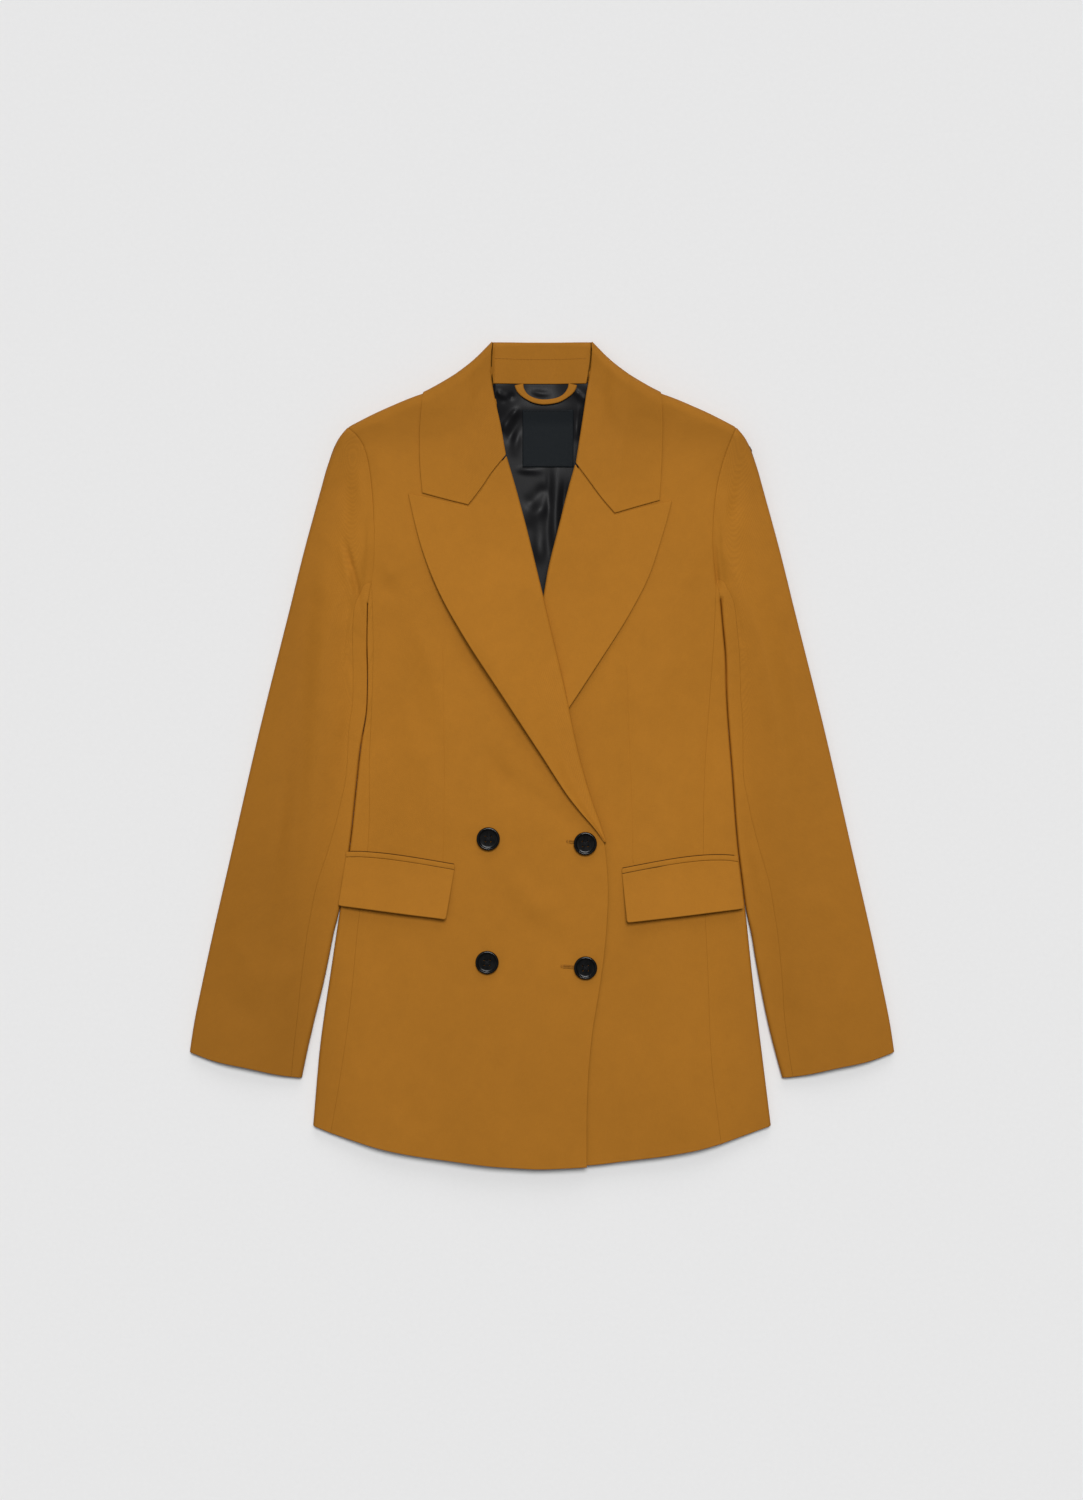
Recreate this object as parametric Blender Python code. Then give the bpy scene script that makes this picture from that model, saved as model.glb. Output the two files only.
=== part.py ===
"""A double-breasted blazer, laid flat on its back with its fronts buttoned over.

X runs across the garment, with the wearer's right side at -X. Y runs from the hem to the
collar. Z is up, and the underside lies on the floor at zero. Every table is in
millimetres. Each panel is a grid drawn between its four edges and wrapped over the fold
it crosses. Its inner face lies one wall inside, square to the garment's own surface, so
that neighbouring pieces stay the width of a seam apart through their whole thickness.
"""
import math

import bmesh
import bpy
import numpy as np
from mathutils import Vector
from mathutils.bvhtree import BVHTree

MM = 0.001                  # metres in a millimetre

# Cloth, in millimetres.
BODY_WALL = 1.8             # wool with its canvas, fronts, backs and sleeves
TRIM_WALL = 1.6             # lapels, collar and flaps
LINING_WALL = 1.0           # satin
SEAM = 0.3                  # between pieces that are sewn edge to edge
LAYER = 0.4                 # between pieces that lie on each other
STACK = LAYER + TRIM_WALL   # a trim piece's outer face above the panel under it

# How the garment fills out as it lies.
BODY_REACH = 80.0           # from a side fold to full height
SLEEVE_REACH = 42.0         # the same on a sleeve
ARMHOLE_BLEND = 80.0        # from the armhole to where body or sleeve rules alone
NECK_LIFT = 2.2             # the back rides this far up on the collar leaf
OVERLAP_DIP = 3.2           # the under front sinks below the common form
OVERLAP_LIFT = 3.6          # the over front rides above it
OVERLAP_REACH = 60.0        # the width of that step

ROLL_RADIUS = 2.9           # the lapel turned over the front's edge
ROLL_RETURN = 5.5           # the lapel's width behind the roll
ROLL_INSET = 3.6            # the front's edge, inside the roll
NECK_ROLL_RADIUS = 3.0      # collar fold at the back of the neck
LEAF_ROLL_RADIUS = 2.4      # the collar's edge over the front
COLLAR_EASE = 0.5           # the collar rides this much more over the fronts
ROLL_TURN = 0.85            # where the roll has turned by half a right angle

# Heights by place.
FOLD_HEIGHT = (             # y, thickness at a fold
    (-400.0, 8.5), (50.0, 9.0), (146.0, 10.0), (200.0, 12.0), (257.0, 15.0),
    (300.0, 19.5), (320.0, 22.0), (400.0, 22.0))
NECK_FALL = (               # distance from the centre, share of the fold height
    (0.0, 0.40), (48.0, 0.42), (60.0, 0.60), (75.0, 0.85), (110.0, 1.0), (400.0, 1.0))
BODY_CROWN = (              # y, height of the front over the floor
    (-401.0, 14.0), (-330.0, 17.0), (-150.0, 22.0), (0.0, 25.0), (150.0, 28.0),
    (250.0, 28.0), (320.0, 26.0), (400.0, 21.0))
SLEEVE_CROWN = (            # y, height of the sleeve over the floor
    (-315.0, 12.0), (-150.0, 14.5), (0.0, 17.0), (150.0, 21.0), (250.0, 26.0),
    (320.0, 26.0))
OVERLAP_SHARE = (           # y, share of the step where the fronts cross
    (-400.0, 0.50), (-120.0, 0.55), (-70.0, 1.0), (158.0, 1.0), (200.0, 0.0), (400.0, 0.0))

# Large soft folds: x and y at both ends, half width, depth (a trough is negative).
FOLDS = (
    (-228.0, 150.0, -246.0, -190.0, 13.0, -3.0),
    (-262.0, 60.0, -292.0, -150.0, 16.0, 1.4),
    (236.0, 120.0, 262.0, -120.0, 14.0, -2.2),
    (-192.0, 262.0, -200.0, 168.0, 9.0, -3.0),
    (195.0, 258.0, 206.0, 170.0, 9.0, -3.0),
    (-120.0, 20.0, -88.0, -70.0, 16.0, 1.2),
    (128.0, 60.0, 104.0, -70.0, 15.0, -1.4),
    (-150.0, -200.0, -140.0, -330.0, 18.0, -1.5),
    (120.0, -190.0, 132.0, -350.0, 18.0, 1.4),
    (-60.0, -240.0, -70.0, -380.0, 20.0, 1.3),
)

# Edges on the right half, x and y. The left half mirrors them.
SHOULDER = (
    (188.0, 317.2), (177.9, 322.6), (161.0, 330.8), (143.5, 338.2), (128.0, 343.6),
    (116.0, 345.8), (95.0, 351.0), (70.0, 361.0))
SLEEVE_OUTER = (
    (188.0, 317.2), (193.4, 312.6), (197.0, 307.0), (201.0, 298.0), (209.0, 276.5),
    (214.4, 257.1), (230.4, 198.9), (244.9, 140.7), (274.0, 24.3), (300.7, -92.2),
    (326.9, -208.6), (338.6, -266.8), (341.7, -288.0))
CUFF = ((341.7, -288.0), (320.0, -296.0), (285.6, -303.6), (248.0, -311.4), (233.0, -313.0))
HEM = (
    (0.0, -400.8), (53.4, -397.6), (83.4, -393.6), (118.3, -389.0), (158.1, -381.2),
    (183.3, -373.5), (206.6, -365.7), (222.0, -359.4))
COLLAR_TOP = (
    (115.0, 351.2), (108.6, 354.4), (95.5, 361.8), (83.0, 369.6), (72.8, 377.3),
    (63.5, 385.1), (56.2, 392.9), (48.6, 400.2))

# Edges that differ from side to side, by the wearer's side.
ARMHOLE = {
    "right": ((-188.0, 317.2), (-176.0, 305.2), (-170.2, 292.9), (-166.8, 276.5),
              (-164.4, 257.1), (-162.8, 236.0), (-161.8, 210.0), (-162.6, 185.0),
              (-165.0, 165.0), (-168.5, 146.0)),
    "left": ((188.0, 317.2), (181.0, 301.0), (175.2, 284.0), (171.2, 270.0),
             (167.5, 248.0), (165.5, 228.0), (164.9, 205.6), (166.2, 188.0),
             (168.8, 168.0), (172.5, 150.0)),
}
SIDE_FOLD = {
    "right": ((-168.5, 146.0), (-169.2, 111.0), (-168.8, 69.0), (-170.2, 40.0),
              (-175.3, 11.0), (-180.0, -31.0), (-186.8, -93.0), (-195.3, -146.0),
              (-207.6, -228.0), (-213.4, -266.8), (-222.0, -359.4)),
    "left": ((172.5, 150.0), (174.9, 122.6), (177.3, 97.0), (178.5, 61.1),
             (184.3, -16.5), (189.8, -87.8), (196.4, -142.6), (205.6, -228.0),
             (210.5, -266.8), (222.0, -359.4)),
}
SLEEVE_INNER = {
    "right": ((-168.5, 146.0), (-171.3, 111.0), (-170.9, 69.0), (-172.3, 40.0),
              (-177.4, 11.0), (-182.1, -31.0), (-188.9, -93.0), (-197.4, -146.0),
              (-213.4, -228.0), (-223.1, -266.8), (-233.0, -313.0)),
    "left": ((172.5, 150.0), (177.0, 122.6), (179.4, 97.0), (180.6, 61.1),
             (186.4, -16.5), (191.9, -87.8), (198.6, -142.6), (212.5, -228.0),
             (220.7, -266.8), (233.0, -313.0)),
}
SIDE_SEAM = {               # front panel to side panel, on the upper face
    "right": ((-163.2, 110.0), (-165.0, 45.0), (-167.1, 3.4), (-168.5, -87.6),
              (-177.0, -153.1), (-186.8, -251.2), (-194.3, -304.6), (-204.7, -366.4)),
    "left": ((166.5, 120.0), (162.0, 50.0), (157.5, -20.0), (156.4, -92.0),
             (161.3, -228.0), (163.7, -292.0), (173.4, -376.6)),
}
NECKLINE = {                # the front's own edge, under the collar
    "right": ((-70.0, 361.0), (-60.5, 338.0), (-50.5, 313.0), (-41.5, 292.0)),
    "left": ((70.0, 361.0), (58.5, 338.0), (48.0, 312.0), (39.0, 288.0)),
}
ROLL_LINE = {
    "right": ((-34.0, 288.1), (-25.0, 257.1), (-14.6, 218.3), (-3.9, 174.6),
              (7.8, 125.1), (22.3, 64.0), (34.5, 5.8), (43.6, -28.0), (55.0, -62.0)),
    "left": ((31.7, 280.0), (25.2, 257.1), (15.5, 218.3), (5.8, 179.5), (0.0, 147.4),
             (-10.0, 110.0), (-22.3, 60.0), (-34.5, 5.8), (-43.6, -28.0), (-54.0, -62.0)),
}
FRONT_EDGE = {
    "right": ((54.4, -73.0), (61.2, -92.0), (64.0, -130.0), (62.3, -170.0), (58.8, -204.7),
              (48.7, -269.7), (44.2, -324.0), (43.4, -399.0)),
    "left": ((-53.4, -73.0), (-61.0, -92.0), (-64.0, -130.0), (-62.0, -170.0), (-58.0, -204.7),
             (-49.0, -269.7), (-45.0, -324.0), (-43.4, -397.0)),
}
LAPEL_TOP = {               # from the roll line out to the peak
    "right": ((-34.0, 288.1), (-43.7, 277.4), (-59.8, 255.1), (-71.8, 240.3),
              (-100.0, 246.0), (-129.0, 251.7)),
    "left": ((31.7, 280.0), (42.0, 267.0), (56.0, 248.0), (69.6, 231.5),
             (98.0, 239.0), (125.1, 244.9)),
}
LAPEL_EDGE = {              # from the peak down to the end of the roll
    "right": ((-129.0, 251.7), (-123.2, 226.0), (-117.0, 202.7), (-97.0, 152.3),
              (-78.0, 118.3), (-36.2, 53.8), (3.9, -7.3), (24.9, -39.5), (43.8, -62.6)),
    "left": ((125.1, 244.9), (121.9, 231.4), (116.4, 212.4), (100.9, 167.1),
             (88.3, 143.0), (44.6, 73.7), (3.0, 10.0), (-24.0, -36.0), (-42.8, -62.6)),
}
LEAF_INNER = {              # the collar's roll edge, from its front end to the neck
    "right": ((-34.6, 289.6), (-41.0, 325.0), (-45.8, 346.3), (-48.8, 365.0), (-48.6, 400.2)),
    "left": ((32.4, 281.8), (40.0, 330.8), (43.4, 354.1), (46.6, 372.0), (48.6, 400.2)),
}
LEAF_END = {                # its front end, from the roll edge to the outer corner
    "right": ((-34.6, 289.6), (-44.2, 278.4), (-60.4, 256.0), (-71.9, 242.4),
              (-95.0, 248.0), (-115.4, 253.2)),
    "left": ((32.4, 281.8), (42.6, 268.2), (56.6, 249.2), (69.8, 233.8),
             (92.0, 240.4), (113.4, 246.0)),
}
LEAF_OUTER = {
    "right": ((-115.4, 253.2), (-118.0, 285.0), (-118.2, 312.0), (-115.0, 351.2)),
    "left": ((113.4, 246.0), (115.6, 285.2), (116.6, 318.0), (115.0, 351.2)),
}
LEAF_BACK_EDGE = ((-115.0, 351.2), (-60.0, 347.5), (0.0, 346.5), (60.0, 347.5), (115.0, 351.2))

BACK_NECK = 359.2           # y of the back's neck edge
SHOULDER_GAP = 0.5          # between front and back at the shoulder
STAND_BOTTOM = 359.7        # y of the stand's seam to the lining and the back
STAND_GAP = 1.6             # its ends to the collar's roll edge
NECK_ROLL_FLAT = 22.0       # from the centre, where the neck fold starts to thicken
NECK_ROLL_END = 47.0        # and where it is as thick as beside the neck
LINING_EDGE = (             # y, half width of the lining that shows in the neck
    (359.2, 60.0), (330.0, 54.0), (280.0, 43.0), (230.0, 32.0), (180.0, 22.0), (128.0, 14.0))
LINING_PLEAT = (9.0, 3.5, 1.2)   # x of the centre pleat, half width, height

POCKET = {                  # corners of the flap: top outer, top inner, bottom outer, inner
    "right": ((-190.1, -98.9), (-84.4, -110.6), (-197.2, -145.5), (-92.6, -158.1)),
    "left": ((190.1, -104.5), (77.1, -115.4), (195.5, -148.4), (81.9, -161.4)),
}
WELT_HEIGHT = 5.2
WELT_WALL = 1.0
FLAP_LIFT = 2.4             # the flap stands off by this much at its lower edge
FLAP_WALL = 1.4

BUTTON_RADIUS = 11.3
BUTTON_HEIGHT = 4.2
BUTTON_RIM = 2.6
BUTTON_DISH = 0.9
BUTTON_STEPS = 18
BUTTONS = {
    "button_upper_right": (-51.8, -80.8), "button_upper_left": (41.7, -85.4),
    "button_lower_right": (-53.0, -200.1), "button_lower_left": (42.0, -205.4),
}
LOOP_PATH = ((-21.6, 357.0), (-19.2, 351.2), (-12.2, 345.0), (-0.6, 341.9), (10.2, 343.2),
             (20.9, 349.5), (27.6, 357.0))
LOOP_WIDTH = 6.0
LOOP_WALL = 1.2
LOOP_RISE = 3.0             # the loop stands off the lining by this much
LABEL_BOX = (-18.9, 279.1, 30.5, 334.7)

CLOTH_COLOUR = (0.376, 0.156, 0.019)
LINING_COLOUR = (0.032, 0.032, 0.034)
BLACK = (0.012, 0.012, 0.013)

# Stations round the armhole: share of the way from shoulder to underarm.
SHOULDER_TURN = (0.0, 0.008, 0.026, 0.062)
ARM_FRONT = (0.14, 0.25, 0.37, 0.49, 0.61, 0.71, 0.80, 0.88)
UNDERARM_TURN = (0.955, 0.985, 1.0)
ARM_BACK = (0.90, 0.80, 0.70)
ARM_BACK_UPPER = (0.58, 0.46, 0.34, 0.22, 0.12)
SLEEVE_ROWS = (             # share of the way down the outer fold, and down the inner fold
    (0.0, 0.0), (0.03, 0.002), (0.065, 0.008), (0.105, 0.020), (0.15, 0.038), (0.20, 0.066),
    (0.25, 0.105), (0.30, 0.15), (0.36, 0.21), (0.42, 0.28), (0.49, 0.36), (0.56, 0.445),
    (0.63, 0.53), (0.70, 0.62), (0.77, 0.71), (0.84, 0.795), (0.90, 0.87), (0.955, 0.94),
    (1.0, 1.0))
BODY_ROWS = (0.022, 0.06, 0.12, 0.19, 0.26, 0.335, 0.41, 0.485, 0.56, 0.635, 0.71, 0.785,
             0.86, 0.93, 1.0)
LAPEL_ROWS = 20
COLLAR_WING_ROWS = (0.0, 0.14, 0.28, 0.42, 0.56, 0.69, 0.80, 0.885, 0.942, 0.985, 1.0)
COLLAR_BACK_ROWS = (0.0, 0.014, 0.036, 0.07, 0.14, 0.23, 0.32, 0.41, 0.50, 0.59, 0.68, 0.77,
                    0.86, 0.93, 0.964, 0.986, 1.0)
FOREARM_SEAM = (            # share of the inner fold's length, distance from it
    (0.0, 18.5), (0.15, 13.0), (0.35, 12.0), (0.50, 22.0), (0.62, 29.0), (0.75, 27.0),
    (0.88, 17.0), (1.0, 10.0))
HIND_SEAM = 22.0            # from the outer fold, on the underside
TURN_ANGLES = (0.0, 30.0, 60.0, 90.0)

# How the sleeve's columns leave the inner fold under the arm. Each stands off it by the
# least of these: a share of its place up the armhole, that place squared, a limit that
# grows with the root of the row's place down the fold, and one that grows up the armhole.
SPREAD_SHARE, SPREAD_SQUARE = 0.65, 0.08
SPREAD_START, SPREAD_ROOT = 5.0, 1.8
SPREAD_MOST, SPREAD_GROWTH = 8.0, 0.25
BACK_SEAM = 38.0            # side panel to back, from the side fold, on the underside


# ---- curves and surfaces ---------------------------------------------------------

def look_up(table, value):
    """Read a two-column table between its rows."""
    rows = np.array(table)
    return np.interp(value, rows[:, 0], rows[:, 1])


def mirrored(table):
    return tuple((-x, y) for x, y in table)


def smooth_step(value):
    value = np.clip(value, 0.0, 1.0)
    return value * value * (3.0 - 2.0 * value)


class Edge:
    """A smooth curve through the rows of a table, measured along its length.

    Several tables are joined end to end, with a corner where they meet."""

    def __init__(self, *tables):
        runs = [self._smooth(np.array(table, float)) for table in tables]
        self.points = np.vstack(runs)
        steps = np.hypot(*np.diff(self.points, axis=0).T)
        self.points = self.points[np.concatenate(([True], steps > 1e-6))]
        steps = np.hypot(*np.diff(self.points, axis=0).T)
        self.along = np.concatenate(([0.0], np.cumsum(steps)))
        self.length = self.along[-1]

    @staticmethod
    def _smooth(rows, per_span=16):
        """Cubic spans whose slope at a row is that of its two neighbours' chord."""
        if len(rows) < 3:
            return rows
        knots = np.concatenate(([0.0], np.cumsum(np.hypot(*np.diff(rows, axis=0).T))))
        slopes = np.gradient(rows, knots, axis=0)
        out = []
        for first in range(len(rows) - 1):
            span = knots[first + 1] - knots[first]
            share = np.linspace(0.0, 1.0, per_span, endpoint=False)[:, None]
            out.append((2 * share**3 - 3 * share**2 + 1) * rows[first]
                       + (share**3 - 2 * share**2 + share) * span * slopes[first]
                       + (3 * share**2 - 2 * share**3) * rows[first + 1]
                       + (share**3 - share**2) * span * slopes[first + 1])
        out.append(rows[-1:])
        return np.vstack(out)

    def at(self, distance):
        distance = np.asarray(distance, float)
        return np.stack([np.interp(distance, self.along, self.points[:, axis])
                         for axis in (0, 1)], axis=-1)

    def share(self, fractions):
        return self.at(np.asarray(fractions) * self.length)

    def where_y(self, height):
        """Distance along the curve at which a falling curve passes a height."""
        return float(np.interp(-height, -self.points[:, 1], self.along))


def nearest_on(points, line):
    """The nearest place to each point on a chain of points."""
    flat = points.reshape(-1, 1, 2)
    start, step = line[None, :-1], np.diff(line, axis=0)[None]
    share = ((flat - start) * step).sum(-1) / (step**2).sum(-1)
    places = start + np.clip(share, 0.0, 1.0)[..., None] * step
    best = ((flat - places)**2).sum(-1).argmin(1)
    return places[np.arange(len(flat)), best].reshape(points.shape)


def distance_to(points, line):
    return np.linalg.norm(nearest_on(points, line) - points, axis=-1)


def turn_drop(distance, radius):
    """How far a rounded edge falls away from its flat, by distance from the fold."""
    inside = radius - np.minimum(distance, radius)
    return radius - np.sqrt(np.maximum(radius**2 - inside**2, 0.0))


def fill(top, bottom, left, right, across, down):
    """A grid of points between four edges.

    top and bottom are edges; left and right are points, one for each line across. across
    is each grid point's share of the way from left to right, and down that of its line."""
    if across.ndim == 1:
        across = np.repeat(across[:, None], len(down), axis=1)
    u, v = across[..., None], np.asarray(down)[None, :, None]
    corners = ((1 - u) * (1 - v) * top.share(0.0) + u * (1 - v) * top.share(1.0)
               + (1 - u) * v * bottom.share(0.0) + u * v * bottom.share(1.0))
    return ((1 - v) * top.share(across) + v * bottom.share(across)
            + (1 - u) * left[None] + u * right[None] - corners)


class Side:
    """The curves of one half of the garment, and the height of its cloth."""

    def __init__(self, name):
        self.name = name
        self.sign = -1.0 if name == "right" else 1.0
        half = mirrored if name == "right" else tuple
        self.shoulder = Edge(half(SHOULDER))
        self.outer = Edge(half(SLEEVE_OUTER))
        self.cuff = Edge(half(CUFF))
        self.hem = Edge(half(HEM))
        self.collar_top = Edge(half(COLLAR_TOP))
        self.fold_of_collar = Edge(half(COLLAR_TOP[::-1]))
        self.armhole = Edge(ARMHOLE[name])
        self.side_fold = Edge(SIDE_FOLD[name])
        self.inner = Edge(SLEEVE_INNER[name])
        self.roll = Edge(ROLL_LINE[name])

    def off_armhole(self, shares):
        """Directions square to the armhole, from the body to the sleeve."""
        near = 0.004
        ahead = (self.armhole.share(np.minimum(shares + near, 1.0))
                 - self.armhole.share(np.maximum(shares - near, 0.0)))
        ahead = ahead / np.linalg.norm(ahead, axis=-1, keepdims=True)
        return self.sign * np.stack((-ahead[:, 1], ahead[:, 0]), axis=-1)

    def fold_lines(self, on_sleeve):
        return [self.shoulder, self.outer, self.inner if on_sleeve else self.side_fold]

    def form(self, points, on_sleeve):
        """Height of the upper face's plateau, distance to the fold, fold radius, lift."""
        x, y = points[..., 0], points[..., 1]
        fold_distance = np.min([distance_to(points, edge.points)
                                for edge in self.fold_lines(on_sleeve)], axis=0)
        seam_distance = distance_to(points, self.armhole.points)
        lean = 0.5 * smooth_step(seam_distance / ARMHOLE_BLEND)
        sleeve_share = 0.5 + lean if on_sleeve else 0.5 - lean
        fold = look_up(FOLD_HEIGHT, y) * look_up(NECK_FALL, np.abs(x))
        reach = BODY_REACH + (SLEEVE_REACH - BODY_REACH) * sleeve_share
        body, sleeve = look_up(BODY_CROWN, y), look_up(SLEEVE_CROWN, y)
        crown = np.maximum(body + (sleeve - body) * sleeve_share, fold)
        filled = smooth_step((fold_distance - fold / 2) / reach)
        lift = (NECK_LIFT * smooth_step((y - 318.0) / 22.0)
                * smooth_step((150.0 - np.abs(x)) / 28.0))
        plateau = lift + fold + (crown - fold) * filled
        plateau = plateau + large_folds(points) * smooth_step(fold_distance / 25.0)
        if not on_sleeve:
            plateau = plateau + self.overlap(points)
        return plateau, fold_distance, fold / 2, lift

    def surface(self, points, faces, on_sleeve=False):
        """Points on the cloth's outer face, and the directions square to it there.

        faces is 1 on the upper face, -1 on the underside and 0 on the fold."""
        plateau, distance, radius, lift = self.form(points, on_sleeve)
        distance = np.where(faces == 0, 0.0, distance)
        drop = turn_drop(distance, radius)
        height = np.where(faces > 0, plateau - drop, lift + drop)

        slope = np.zeros(points.shape)
        for axis in (0, 1):
            step = np.zeros(2)
            step[axis] = 1.0
            ahead, behind = (self.form(points + way * step, on_sleeve) for way in (1, -1))
            rise = np.where(faces > 0, ahead[0] - behind[0], ahead[3] - behind[3])
            slope[..., axis] = rise / 2.0
        level = (radius - np.minimum(distance, radius)) / radius
        upright = np.sqrt(1.0 - level**2)[..., None]
        upward = np.where(faces > 0, 1.0, -1.0)[..., None]
        sloped = np.concatenate((-slope * upward, upward), axis=-1)
        sloped = sloped / np.linalg.norm(sloped, axis=-1, keepdims=True)
        sideways = np.zeros(points.shape[:-1] + (3,))
        sideways[..., :2] = self.outward(points, faces, on_sleeve)
        normal = level[..., None] * sideways + upright * sloped
        normal = normal / np.linalg.norm(normal, axis=-1, keepdims=True)
        return np.concatenate((points, height[..., None]), axis=-1), normal

    def outward(self, points, faces, on_sleeve):
        """Level direction from each point to the nearest fold."""
        lines = np.vstack([nearest_on(points, edge.points)[None]
                           for edge in self.fold_lines(on_sleeve)])
        gaps = np.linalg.norm(lines - points, axis=-1)
        chosen = np.take_along_axis(lines, gaps.argmin(0)[None, ..., None], axis=0)[0]
        way = chosen - points
        for axis in (0, 1):
            before, after = np.roll(points, 1, axis), np.roll(points, -1, axis)
            on_fold = (faces == 0) & (np.roll(faces, 1, axis) * np.roll(faces, -1, axis) < 0)
            way = np.where(on_fold[..., None], points - (before + after) / 2, way)
        length = np.linalg.norm(way, axis=-1, keepdims=True)
        return way / np.maximum(length, 1e-9)

    def overlap(self, points):
        """Step of a front where it crosses the other one."""
        x, y = points[..., 0], points[..., 1]
        grown = look_up(OVERLAP_SHARE, y)
        edge_x = 30.0 + 32.0 * smooth_step((60.0 - y) / 130.0)
        if self.name == "right":
            return OVERLAP_LIFT * grown * smooth_step((x + edge_x + OVERLAP_REACH) / OVERLAP_REACH)
        return -OVERLAP_DIP * grown * smooth_step((edge_x + OVERLAP_REACH - x) / OVERLAP_REACH)


def large_folds(points):
    """Soft ridges and troughs of the cloth."""
    total = np.zeros(points.shape[:-1])
    for x0, y0, x1, y1, width, depth in FOLDS:
        start, step = np.array((x0, y0)), np.array((x1 - x0, y1 - y0))
        share = ((points - start) @ step) / (step @ step)
        off = points - start - np.clip(share, 0.0, 1.0)[..., None] * step
        across = (off**2).sum(-1) / width**2
        total = total + depth * np.exp(-across)
    return total


def piece_from(name, outer, inner, material):
    """One cloth piece from the points of its two faces: a grid extruded inwards."""
    columns, rows = outer.shape[0] - 1, outer.shape[1] - 1
    shape = bmesh.new()
    bmesh.ops.create_grid(shape, x_segments=columns, y_segments=rows, size=1.0)
    extruded = bmesh.ops.extrude_face_region(shape, geom=shape.faces[:], use_keep_orig=True)
    behind = {item for item in extruded["geom"] if isinstance(item, bmesh.types.BMVert)}
    for vertex in shape.verts:
        column = round((vertex.co.x + 1.0) / 2.0 * columns)
        row = round((vertex.co.y + 1.0) / 2.0 * rows)
        vertex.co = (inner if vertex in behind else outer)[column, row] * MM
    bmesh.ops.recalc_face_normals(shape, faces=shape.faces[:])
    if shape.calc_volume(signed=True) < 0.0:
        bmesh.ops.reverse_faces(shape, faces=shape.faces[:])
    mesh = bpy.data.meshes.new(name)
    shape.to_mesh(mesh)
    shape.free()
    mesh.shade_smooth()
    mesh.set_sharp_from_angle(angle=math.radians(50.0))
    mesh.materials.append(material)
    return bpy.data.objects.new(name, mesh)


def panel(name, side, flat, faces, material, on_sleeve=False):
    """A piece of the body or a sleeve, one wall inside the garment's surface."""
    outer, normal = side.surface(flat, faces, on_sleeve)
    return piece_from(name, outer, outer - BODY_WALL * normal, material), outer


def trim(name, flat, height, wall, material, on_fold=None):
    """A piece that lies on others, thickened square to its own surface.

    on_fold marks the points where it turns under, where its face stands upright."""
    outer = np.concatenate((flat, height[..., None]), axis=-1)
    normal = np.cross(np.gradient(outer, axis=0), np.gradient(outer, axis=1))
    normal = normal * (1.0 if normal[-1, 2, 2] > 0.0 else -1.0)
    if on_fold is not None:
        normal[on_fold, 2] = 0.0
    normal = normal / np.linalg.norm(normal, axis=-1, keepdims=True)
    return piece_from(name, outer, outer - wall * normal, material)


def even(count):
    return np.linspace(0.0, 1.0, count + 1)


def rows_down(edge_points_left, edge_points_right):
    """Mean share of the way down for each row of a panel."""
    def shares(points):
        along = np.concatenate(([0.0], np.cumsum(np.hypot(*np.diff(points, axis=0).T))))
        return along / along[-1]
    return (shares(edge_points_left) + shares(edge_points_right)) / 2.0


# ---- pieces --------------------------------------------------------------------

def side_seam_edge(side):
    """Front panel to side panel: from the armhole down to the hem."""
    start = side.armhole.share(ARM_FRONT[-1])
    return Edge((tuple(start),) + SIDE_SEAM[side.name])


def front_panel(side, material):
    """Front: shoulder, armhole and side seam, hem, front edge and neckline."""
    inward = np.array((-side.sign * SEAM / 2, 0.0))
    turn = list(SHOULDER_TURN)
    arm = np.array(turn + list(ARM_FRONT))
    left = np.vstack((side.armhole.share(arm), side_seam_edge(side).share(BODY_ROWS)))
    inset = np.array(((side.sign * ROLL_INSET, 0.0),))
    neck = tuple(map(tuple, np.array(NECKLINE[side.name])))
    roll = tuple(map(tuple, np.array(ROLL_LINE[side.name])[1:] + inset))
    edge = Edge(neck + roll + FRONT_EDGE[side.name])
    near = np.array(turn) * side.armhole.length
    spread = np.concatenate(([0.0], np.cumsum(np.hypot(*np.diff(left, axis=0).T))))
    rest = (spread[len(turn):] - near[-1]) / (spread[-1] - near[-1])
    along = np.concatenate((near, near[-1] + rest * (edge.length - near[-1])))
    right = edge.at(along)
    hem = Edge(hem_between(side, left[-1][0], right[-1][0], even(24)))
    left[:len(arm)] -= side.off_armhole(arm) * SEAM / 2
    left[len(arm) - 1:] += inward
    flat = fill(side.shoulder, hem, left, right, even(11), rows_down(left, right))
    corner = 3.0 * SEAM / side.shoulder.length
    flat[:, 0] = side.shoulder.share(corner + (1.0 - corner) * even(11))
    faces = np.ones(flat.shape[:2])
    faces[:, 0] = 0
    under = flat[:, 2:0:-1]
    flat = np.concatenate((under, flat), axis=1)
    faces = np.concatenate((-np.ones(under.shape[:2]), faces), axis=1)
    piece, outer = panel("front_" + side.name, side, flat, faces, material)
    return piece, outer, flat[:, 0]


def hem_between(side, from_x, to_x, columns):
    """Hem points between two places across, whichever side of the centre they are."""
    x = from_x + (to_x - from_x) * np.asarray(columns)
    curve = side.hem.points
    y = np.interp(np.abs(x), np.abs(curve[:, 0]), curve[:, 1])
    return np.stack((x, y), axis=-1)


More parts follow.
